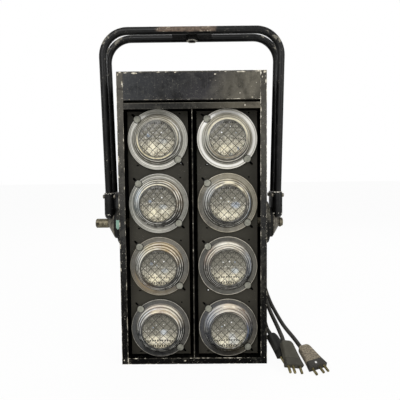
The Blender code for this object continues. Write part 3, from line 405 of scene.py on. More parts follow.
def dishPaint(name, side):
    # worn disc on the box side, rubbed grey brown above; the left one keeps a strip of pale tape
    material, shader, place = newFinish(name)
    x, y, z = place.axes()
    cloud = place.grain(45.0, 4.0, 0.6)
    fine = place.grain(330.0, 3.0, 0.7)
    worn = (z + (cloud - 0.5) * 0.03).rise(0.258, 0.275) * fine.rise(0.30, 0.60)
    base = layered("0c0c0c", (fine, "1c1c1b"), (worn * (0.75 if side == "right" else 0.25), "69665b"),
                   (place.grain(280.0, 3.0).rise(0.62, 0.68) * 0.5, "a39d8d"))
    if side == "left":
        ragged = (place.grain(300.0, 3.0, 0.6) - 0.5) * 0.004
        sizes = tapeSizes
        low = sizes["low"] + abs(x + sizes["fold"]) * 1.2
        tape = (x + sizes["inner"] + ragged * 0.3).fall(-0.0004, 0.0) * (x + sizes["outer"]).rise(0.0, 0.0004)
        tape = tape * y.fall(sizes["front"] - 0.004, sizes["front"])
        tape = tape * (z + ragged).fall(sizes["high"], sizes["high"] + 0.0006) * (z - ragged - low).rise(0.0, 0.0010)
        base = tape.blend(base, fine.blend("7fa896", "a9c8b9"))
    feed(shader, colour=base, rough=0.45 + fine * 0.15, specular=0.15, bump=fine, bumpDepth=0.0002, bumpStrength=0.35)
    return material


def rubberCord(name, colour="2b2a28", light="45433e"):
    material, shader, place = newFinish(name)
    cloud = place.grain(45.0, 4.0, 0.6)
    fine = place.grain(700.0, 2.0, 0.6)
    base = (cloud.rise(0.3, 0.7) * 0.7 + fine * 0.3).blend(colour, light)
    feed(shader, colour=base, rough=0.55 + fine * 0.15, specular=0.2, bump=fine, bumpDepth=0.0001, bumpStrength=0.3)
    return material


def plugMoulding(name, colour, light, grit=0.0):
    material, shader, place = newFinish(name)
    cloud = place.grain(70.0, 4.0, 0.6)
    fine = place.grain(650.0, 3.0, 0.7)
    base = (cloud.rise(0.3, 0.7) * 0.6 + fine * 0.3).blend(colour, light)
    if grit:
        crumb = place.grain(330.0, 4.0, 0.75)
        base = layered(base, (crumb.rise(0.48, 0.62) * grit, "a99e88"), (crumb.fall(0.36, 0.48) * grit, "474036"))
        fine = fine + crumb
    feed(shader, colour=base, rough=0.5 + fine * 0.1, specular=0.15, bump=fine, bumpDepth=0.00025 if grit else 0.0001,
         bumpStrength=0.4)
    return material


def brassPin(name):
    material, shader, place = newFinish(name)
    cloud = place.grain(240.0, 4.0, 0.6)
    base = cloud.rise(0.3, 0.7).blend("564f36", "9b9068")
    feed(shader, colour=base, metal=0.85, rough=0.32 + cloud * 0.2, bump=cloud, bumpDepth=0.0001, bumpStrength=0.3)
    return material


def plainFinish(name, colour, rough=0.5, metal=0.0):
    # one colour, clouded with a third more of itself
    material, shader, place = newFinish(name)
    fine = place.grain(380.0, 3.0, 0.6)
    light = "".join("%02x" % min(255, int(int(colour[i:i + 2], 16) * 1.35) + 6) for i in (0, 2, 4))
    feed(shader, colour=fine.blend(colour, light), rough=rough, metal=metal, bump=fine, bumpDepth=0.0001,
         bumpStrength=0.3)
    return material


# making meshes

def across(axis, a, b, t):
    return {"X": (t, a, b), "Y": (a, t, b), "Z": (a, b, t)}[axis]


def ringFaces(shape, rings, closed=False, slot=0):
    pairs = list(zip(rings, rings[1:]))
    if closed:
        pairs.append((rings[-1], rings[0]))
    for low, high in pairs:
        count = max(len(low), len(high))
        for i in range(count):
            j = (i + 1) % count
            corners = list(dict.fromkeys((low[i % len(low)], low[j % len(low)], high[j % len(high)],
                                          high[i % len(high)])))
            if len(corners) > 2:
                shape.faces.new(corners).material_index = slot


def loft(shape, sections, closed=False, slot=0, place=None):
    place = place or Matrix.Identity(4)
    rings = [[shape.verts.new(place @ Vector(point)) for point in ring] for ring in sections]
    ringFaces(shape, rings, closed, slot)
    if not closed:
        for ring in (rings[0], rings[-1]):
            if len(ring) > 2:
                shape.faces.new(ring).material_index = slot


def turned(shape, profile, axis="Y", steps=48, centre=(0.0, 0.0), slot=0, place=None):
    # revolve (radius, place along the axis) points; a profile off the axis at both ends is a closed loop
    sections = []
    for radius, t in profile:
        if radius == 0.0:
            sections.append([across(axis, *centre, t)])
        else:
            sections.append([across(axis, centre[0] + radius * math.cos(math.tau * i / steps),
                                    centre[1] + radius * math.sin(math.tau * i / steps), t) for i in range(steps)])
    loft(shape, sections, profile[0][0] != 0.0 and profile[-1][0] != 0.0, slot, place)


def block(shape, low, high, slot=0, place=None):
    loft(shape, [[(x, y, z) for x, y in ((low[0], low[1]), (high[0], low[1]), (high[0], high[1]), (low[0], high[1]))]
                 for z in (low[2], high[2])], slot=slot, place=place)


def softRect(halfWide, halfTall, corner):
    # rounded rectangle, anticlockwise
    points, steps = [], 4
    for i, (sx, sz) in enumerate(((1, -1), (1, 1), (-1, 1), (-1, -1))):
        for k in range(steps + 1):
            angle = (i - 1 + k / steps) * math.pi / 2
            points.append((sx * (halfWide - corner) + corner * math.cos(angle),
                           sz * (halfTall - corner) + corner * math.sin(angle)))
    return points


def asPiece(name, shape, materials, angle):
    bmesh.ops.remove_doubles(shape, verts=shape.verts, dist=1e-7)
    bmesh.ops.recalc_face_normals(shape, faces=shape.faces)
    mesh = bpy.data.meshes.new(name)
    shape.to_mesh(mesh)
    shape.free()
    for material in materials:
        mesh.materials.append(material)
    made = bpy.data.objects.new(name, mesh)
    bpy.context.scene.collection.objects.link(made)
    made.data.shade_smooth()
    made.data.set_sharp_from_angle(angle=math.radians(angle))
    return made


def handOver(made, body, node):
    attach(made, body)
    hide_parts(node)


def settle(made):
    # turn an object and its modifiers into a plain mesh
    graph = bpy.context.evaluated_depsgraph_get()
    graph.update()
    mesh = bpy.data.meshes.new_from_object(made.evaluated_get(graph), depsgraph=graph)
    if made.type == "MESH":
        made.modifiers.clear()
        made.data = mesh
        return made
    name = made.name
    bpy.data.objects.remove(made)
    solid = bpy.data.objects.new(name, mesh)
    bpy.context.scene.collection.objects.link(solid)
    return solid


class NodeTree:
    # a geometry tree with named inputs
    def __init__(self, name, inputs):
        self.group = bpy.data.node_groups.new(name, "GeometryNodeTree")
        face = self.group.interface
        face.new_socket("Geometry", in_out="INPUT", socket_type="NodeSocketGeometry")
        for label, value in inputs.items():
            kind = "NodeSocketInt" if isinstance(value, int) else "NodeSocketFloat"
            kind = "NodeSocketMaterial" if value is None else kind
            made = face.new_socket(label, in_out="INPUT", socket_type=kind)
            if value is not None:
                made.default_value = value
        face.new_socket("Geometry", in_out="OUTPUT", socket_type="NodeSocketGeometry")
        self.entry = self.group.nodes.new("NodeGroupInput")
        self.start = Flow(self.group)

    def given(self, label):
        return Flow(self.group, self.entry.outputs[label])

    def leave(self, geometry):
        solid = geometry.node("GeometryNodeRealizeInstances", None, {0: geometry})
        solid = solid.node("GeometryNodeSetMaterial", None, {"Geometry": solid, "Material": self.given("Material")})
        gone = self.group.nodes.new("NodeGroupOutput")
        self.group.links.new(solid.socket, gone.inputs[0])
        return self

    def on(self, made, values):
        change = made.modifiers.new(self.group.name, "NODES")
        change.node_group = self.group
        for item in self.group.interface.items_tree:
            if item.in_out == "INPUT" and item.name in values:
                change[item.identifier] = values[item.name]
        return settle(made)


def seedMesh(name):
    made = bpy.data.objects.new(name, bpy.data.meshes.new(name))
    bpy.context.scene.collection.objects.link(made)
    return made


def smoothRoute(points, count):
    # even points on a smooth curve through the given ones
    points = [Vector(point) for point in points]
    ends = [points[0] * 2 - points[1]] + points + [points[-1] * 2 - points[-2]]
    fine, parts = [], 24
    for a, b, c, d in zip(ends, ends[1:], ends[2:], ends[3:]):
        for i in range(parts):
            t = i / parts
            fine.append(0.5 * (2 * b + (c - a) * t + (2 * a - 5 * b + 4 * c - d) * t ** 2
                               + (3 * b - a - 3 * c + d) * t ** 3))
    fine.append(points[-1])
    run = [0.0]
    for a, b in zip(fine, fine[1:]):
        run.append(run[-1] + (b - a).length)
    even, leg = [], 0
    for i in range(count):
        want = run[-1] * i / (count - 1)
        while leg < len(run) - 2 and run[leg + 1] < want:
            leg += 1
        even.append(fine[leg].lerp(fine[leg + 1], (want - run[leg]) / (run[leg + 1] - run[leg])))
    return even


# camera, floor and light

cameraSizes = {"lens": 34.74, "place": (0.0179, -0.7721, 0.348), "yaw": -0.0065, "pitch": 0.0557, "roll": -0.010}


def placeCamera():
    yaw, pitch, roll = cameraSizes["yaw"], cameraSizes["pitch"], cameraSizes["roll"]
    ahead = Vector((math.sin(yaw) * math.cos(pitch), math.cos(yaw) * math.cos(pitch), -math.sin(pitch)))
    level = Vector((math.cos(yaw), -math.sin(yaw), 0.0))
    above = level.cross(ahead)
    right = math.cos(roll) * level + math.sin(roll) * above
    up = -math.sin(roll) * level + math.cos(roll) * above
    camera = bpy.data.objects.new("camera", bpy.data.cameras.new("camera"))
    camera.data.lens = cameraSizes["lens"]
    camera.data.sensor_width = 36
    camera.data.clip_start = 0.01
    camera.matrix_world = Matrix((
        (right.x, up.x, -ahead.x, cameraSizes["place"][0]), (right.y, up.y, -ahead.y, cameraSizes["place"][1]),
        (right.z, up.z, -ahead.z, cameraSizes["place"][2]), (0, 0, 0, 1)))
    bpy.context.scene.collection.objects.link(camera)
    bpy.context.scene.camera = camera


def placeFloor():
    mesh = bpy.data.meshes.new("floor")
    mesh.from_pydata([(-30, -30, 0), (30, -30, 0), (30, 30, 0), (-30, 30, 0)], [], [(0, 1, 2, 3)])
    floor = bpy.data.objects.new("floor", mesh)
    bpy.context.scene.collection.objects.link(floor)
    material = bpy.data.materials.new("pale floor")
    material.use_nodes = True
    tree = material.node_tree
    start = Flow(tree)
    shader = tree.nodes["Principled BSDF"]
    shader.inputs["Base Color"].default_value = tone("f2f2f0")
    shader.inputs["Roughness"].default_value = 0.9
    shader.inputs["Specular IOR Level"].default_value = 0.0
    seen = start.node("ShaderNodeLightPath")
    white = start.node("ShaderNodeEmission", None, {"Color": (1, 1, 1, 1), "Strength": 1.0})
    mixed = start.node("ShaderNodeMixShader", None, {0: seen * 0.95, 1: Flow(tree, shader.outputs[0]), 2: white})
    tree.links.new(mixed.socket, tree.nodes["Material Output"].inputs[0])
    mesh.materials.append(material)


# place, size in metres, power in watts and the height that each is aimed at
studioLamps = {"key": ((-0.6, -1.7, 1.5), 1.2, 21, 0.3), "fill": ((1.4, -1.2, 1.1), 1.4, 12, 0.3),
               "rim": ((0.4, 1.5, 1.6), 1.2, 12, 0.35)}


def placeLights():
    world = bpy.data.worlds.new("studio")
    bpy.context.scene.world = world
    world.use_nodes = True
    tree = world.node_tree
    start = Flow(tree)
    paths = start.node("ShaderNodeLightPath")
    seen = paths.calc("MAXIMUM", Flow(tree, paths.socket.node.outputs["Is Transmission Ray"]))
    glossy = Flow(tree, paths.socket.node.outputs["Is Glossy Ray"])
    background = tree.nodes["Background"]
    background.inputs["Color"].default_value = (1, 1, 1, 1)
    strength = seen.calc("MAXIMUM", glossy * 0.50).calc("MAXIMUM", 0.44)
    tree.links.new(strength.socket, background.inputs["Strength"])
    for name, (spot, size, power, aim) in studioLamps.items():
        lamp = bpy.data.lights.new(name, "AREA")
        lamp.size = size
        lamp.energy = power
        made = bpy.data.objects.new(name, lamp)
        made.location = spot
        made.rotation_euler = (Vector((0, 0, aim)) - Vector(spot)).to_track_quat("-Z", "Y").to_euler()
        bpy.context.scene.collection.objects.link(made)


bpy.context.scene.view_settings.view_transform = "Standard"
placeCamera()
placeFloor()
placeLights()
print("camera, floor and light placed")


# leads and plugs

plugPlaces = {
    "a": {"front": (0.2221, -0.0979, 0.0086), "heading": 20.4, "down": 21.3, "roll": -6.3, "facing": -1,
          "leadAcross": -0.0045},
    "b": {"front": (0.1787, -0.1005, 0.0119), "heading": 8.7, "down": 31.8, "roll": 15.0, "facing": 1,
          "leadAcross": -0.0045},
    "c": {"front": (0.1692, -0.0652, 0.0129), "heading": 30.0, "down": 34.7, "roll": 19.2, "facing": 1,
          "leadAcross": 0.0},
}
plugSizes = {"wide": 0.0370, "seamWide": 0.0317, "shoulderWide": 0.0255, "tailWide": 0.0150, "thick": 0.0124,
             "tailThick": 0.0106, "block": 0.0133, "shell": 0.0363, "shoulder": 0.0255, "edge": 0.0006,
             "pinRadius": 0.0024, "pinLength": 0.0136, "pins": (-0.0123, -0.0029, 0.0112), "gap": 0.0003,
             "corner": 0.0026, "shellCorner": 0.0030, "lip": 0.0003, "screw": 0.0022, "screwProud": 0.0006,
             "screwAcross": -0.0015}
leadSizes = {"radius": 0.0040, "points": 72, "tip": 0.0986, "height": 0.513,
             "start": {"a": 0.100, "b": 0.070, "c": 0.040}}
leadRoutes = {
    "a": ((0.1002, 0.1270, 0.5080), (0.1006, 0.1385, 0.4965), (0.1012, 0.1440, 0.4780), (0.1030, 0.1465, 0.450),
          (0.107, 0.1455, 0.400), (0.114, 0.140, 0.330), (0.124, 0.130, 0.260), (0.1365, 0.116, 0.190),
          (0.1462, 0.0995, 0.140), (0.1545, 0.0785, 0.107), (0.161, 0.052, 0.083), (0.169, 0.026, 0.066),
          (0.179, -0.006, 0.050), (0.1915, -0.033, 0.0375)),
    "b": ((0.0703, 0.1270, 0.5080), (0.0710, 0.1385, 0.4965), (0.0722, 0.1440, 0.4780), (0.0758, 0.1465, 0.450),
          (0.083, 0.1455, 0.400), (0.094, 0.140, 0.330), (0.107, 0.132, 0.260), (0.121, 0.118, 0.195),
          (0.1342, 0.1035, 0.145), (0.1445, 0.082, 0.112), (0.1518, 0.050, 0.088), (0.156, 0.014, 0.0715),
          (0.1625, -0.022, 0.0565)),
    "c": ((0.0404, 0.1270, 0.5080), (0.0415, 0.1385, 0.4965), (0.0432, 0.1440, 0.4780), (0.0478, 0.1465, 0.450),
          (0.056, 0.1455, 0.400), (0.071, 0.140, 0.330), (0.090, 0.130, 0.260), (0.108, 0.117, 0.205),
          (0.122, 0.101, 0.160), (0.1325, 0.084, 0.126), (0.1419, 0.060, 0.099), (0.1421, 0.028, 0.079),
          (0.1416, -0.005, 0.059)),
}


def plugFrame(tag):
    spot = plugPlaces[tag]
    return (Matrix.Translation(spot["front"]) @ Matrix.Rotation(math.radians(spot["heading"]), 4, "Z")
            @ Matrix.Rotation(math.radians(spot["down"]), 4, "X") @ Matrix.Rotation(math.radians(spot["roll"]), 4, "Y"))


def makeLead(tag):
    sizes = leadSizes
    seat = plugFrame(tag)
    side = plugPlaces[tag]["leadAcross"]
    tail = plugSizes["block"] + plugSizes["shell"] + 2 * plugSizes["gap"]
    exitPoint = Vector((sizes["start"][tag], sizes["tip"], sizes["height"]))
    route = [exitPoint + Vector((0, 3 * sizes["radius"], 0)), *leadRoutes[tag],
             seat @ Vector((side, tail + 3 * sizes["radius"], 0))]
    points = [exitPoint, *smoothRoute(route, sizes["points"]), seat @ Vector((side, tail, 0))]
    curve = bpy.data.curves.new("lead_" + tag, "CURVE")
    curve.dimensions = "3D"
    curve.bevel_depth = sizes["radius"]
    curve.bevel_resolution = 5
    curve.use_fill_caps = True
    line = curve.splines.new("POLY")
    line.points.add(len(points) - 1)
    for spot, point in zip(line.points, points):
        spot.co = (*point, 1.0)
    curve.materials.append(rubberCord("lead rubber " + tag))
    lead = bpy.data.objects.new("lead_" + tag, curve)
    bpy.context.scene.collection.objects.link(lead)
    length = sum((b - a).length for a, b in zip(points, points[1:]))
    handOver(lead, "housing", "cord_" + tag)
    print("lead", tag, round(length, 3))


def plugRing(halfWide, halfThick, y, corner):
    return [(a, y, b) for a, b in softRect(halfWide, halfThick, min(corner, halfThick * 0.95))]


def makePlug(tag, blockFinish, shellFinish, screw=False):
    sizes = plugSizes
    seat = plugFrame(tag)
    wide, seam, thick = sizes["wide"] / 2, sizes["seamWide"] / 2, sizes["thick"] / 2
    edge, lip, corner, end = sizes["edge"], sizes["lip"], sizes["corner"], sizes["block"]
    shape = bmesh.new()
    loft(shape, [plugRing(wide - edge * 1.6, thick - edge, 0.0, corner - edge),
                 plugRing(wide - edge * 0.4, thick - edge * 0.2, edge * 0.6, corner - 0.0002),
                 plugRing(wide - edge * 0.3, thick, edge * 1.8, corner), plugRing(seam, thick, end - lip, corner),
                 plugRing(seam - lip, thick - lip, end, corner - 0.0002)], place=seat)
    for offset in sizes["pins"]:
        centre = (plugPlaces[tag]["facing"] * offset, 0.0)
        radius, length = sizes["pinRadius"], sizes["pinLength"]
        turned(shape, ((0.0, -length), (radius * 0.55, -length), (radius * 0.9, -length + 0.0006),
                       (radius, -length + 0.0016), (radius, -0.0002), (radius * 1.25, 0.0002), (0.0, 0.0003)),
               "Y", 20, centre, 1, seat)
    if screw:
        head, proud = sizes["screw"], thick + sizes["screwProud"]
        turned(shape, ((0.0, proud), (head - 0.0004, proud), (head, proud - 0.0004), (head, thick - 0.0002),
                       (0.0, thick - 0.0003)), "Z", 20, (sizes["screwAcross"], end * 0.5), 2, seat)
    block = asPiece(f"plugBlock_{tag}", shape, [blockFinish, brassPin("plug pin " + tag),
                                               plainFinish("plug screw " + tag, "d8d6cf", 0.3, 0.6)], 40)
    handOver(block, "housing", f"plug_{tag}_block")

    shape = bmesh.new()
    start, corner = end + sizes["gap"], sizes["shellCorner"]
    shoulder, tail, tailThick = sizes["shoulderWide"] / 2, sizes["tailWide"] / 2, sizes["tailThick"] / 2
    rings = [plugRing(seam - lip, thick - lip, start, sizes["corner"] - 0.0002),
             plugRing(seam, thick, start + lip, sizes["corner"])]
    straight, bent = 5, 10
    for i in range(1, straight + 1):
        share = i / straight
        rings.append(plugRing(seam + (shoulder - seam) * share, thick, start + sizes["shoulder"] * share, corner))
    for i in range(1, bent + 1):
        angle = math.pi / 2 * i / bent
        share = 1 - math.cos(angle)
        reach = sizes["shoulder"] + (sizes["shell"] - sizes["shoulder"]) * math.sin(angle)
        rings.append(plugRing(shoulder + (tail - shoulder) * share, thick + (tailThick - thick) * share,
                              start + reach, corner))
    loft(shape, rings, place=seat)
    shell = asPiece(f"plugShell_{tag}", shape, [shellFinish], 50)
    handOver(shell, "housing", f"plug_{tag}_shell")
    return [block, shell]


plugPieces = {
    "a": makePlug("a", plugMoulding("plug a block", "34322f", "46443f"),
                  plugMoulding("plug a shell", "6b6356", "857c6c", 0.7), screw=True),
    "b": makePlug("b", plugMoulding("plug b block", "3d3b35", "4b4941"),
                  plugMoulding("plug b shell", "45433b", "55534a")),
    "c": makePlug("c", plugMoulding("plug c block", "1d1d1c", "2a2a28"),
                  plugMoulding("plug c shell", "262625", "353532")),
}
for tag in leadRoutes:
    makeLead(tag)
print("leads and plugs made")


# lamps

lampSizes = {"columns": {"left": -0.065, "right": 0.065}, "heights": (0.4215, 0.3015, 0.1815, 0.0615),
             "span": 0.12, "rimFront": -0.045, "lens": 0.0338, "lensRise": 0.0154, "crown": 0.0030, "pillow": 0.0007,
             "cell": 0.0100, "fine": 6}
spadeSizes = {"offset": 0.0055, "halfWide": 0.00315, "start": 0.0600, "end": 0.0700, "halfThick": 0.0007}
# in mm from the middle of the lamp
ringSizes = {"wall": 46.8, "rim": 47.6, "groove": 54.2, "bead": 55.4, "clip": 37.6, "clipRadius": 6.9,
             "wallPitch": 3.7, "rimPitch": 2.1}
# painted reflections in dashed rows across the lens: height, half height, pitch and shift
lensRows = {"top": (28.4, 2.0, 4.2, 0.2), "upper": (19.5, 0.9, 3.6, 1.0), "bright": (3.2, 0.8, 5.3, 0.7),
            "middle": (-0.4, 1.1, 3.1, 0.0), "lower": (-16.5, 1.8, 4.6, 0.4), "bottom": (-27.5, 2.6, 4.4, 0.9)}
# outside of the glass from the back of the rim to the lens, then the reflector behind it (radius, depth) in mm
glassProfile = ((47.5, 5.0), (56.3, 5.0), (56.5, 4.6), (56.5, 1.0), (56.1, 0.3), (55.2, 0.0), (54.3, 0.1), (53.6, 0.5),
                (47.6, 0.5), (46.8, 0.2), (46.0, -0.4), (45.2, -1.6), (44.8, -3.6), (44.2, -4.5), (43.2, -5.0),
                (42.2, -5.6), (41.6, -7.0), (41.2, -9.2), (40.6, -9.9), (39.6, -10.3), (38.4, -10.9), (37.8, -12.4),
                (37.4, -14.4), (36.8, -15.1), (35.8, -15.6), (34.9, -15.7), (34.3, -15.4), (34.0, -14.9))
backProfile = ((34.0, -14.9), (34.0, -13.0), (33.0, -13.0))
reflectorProfile = ((47.5, 5.0), (46.0, 9.0), (43.6, 14.0), (40.4, 19.5), (36.4, 25.5), (31.5, 32.0), (25.8, 38.6),
                    (19.4, 44.8), (13.2, 49.6), (11.6, 51.4), (11.4, 53.0), (11.4, 60.6), (10.6, 62.2), (0.0, 62.4))
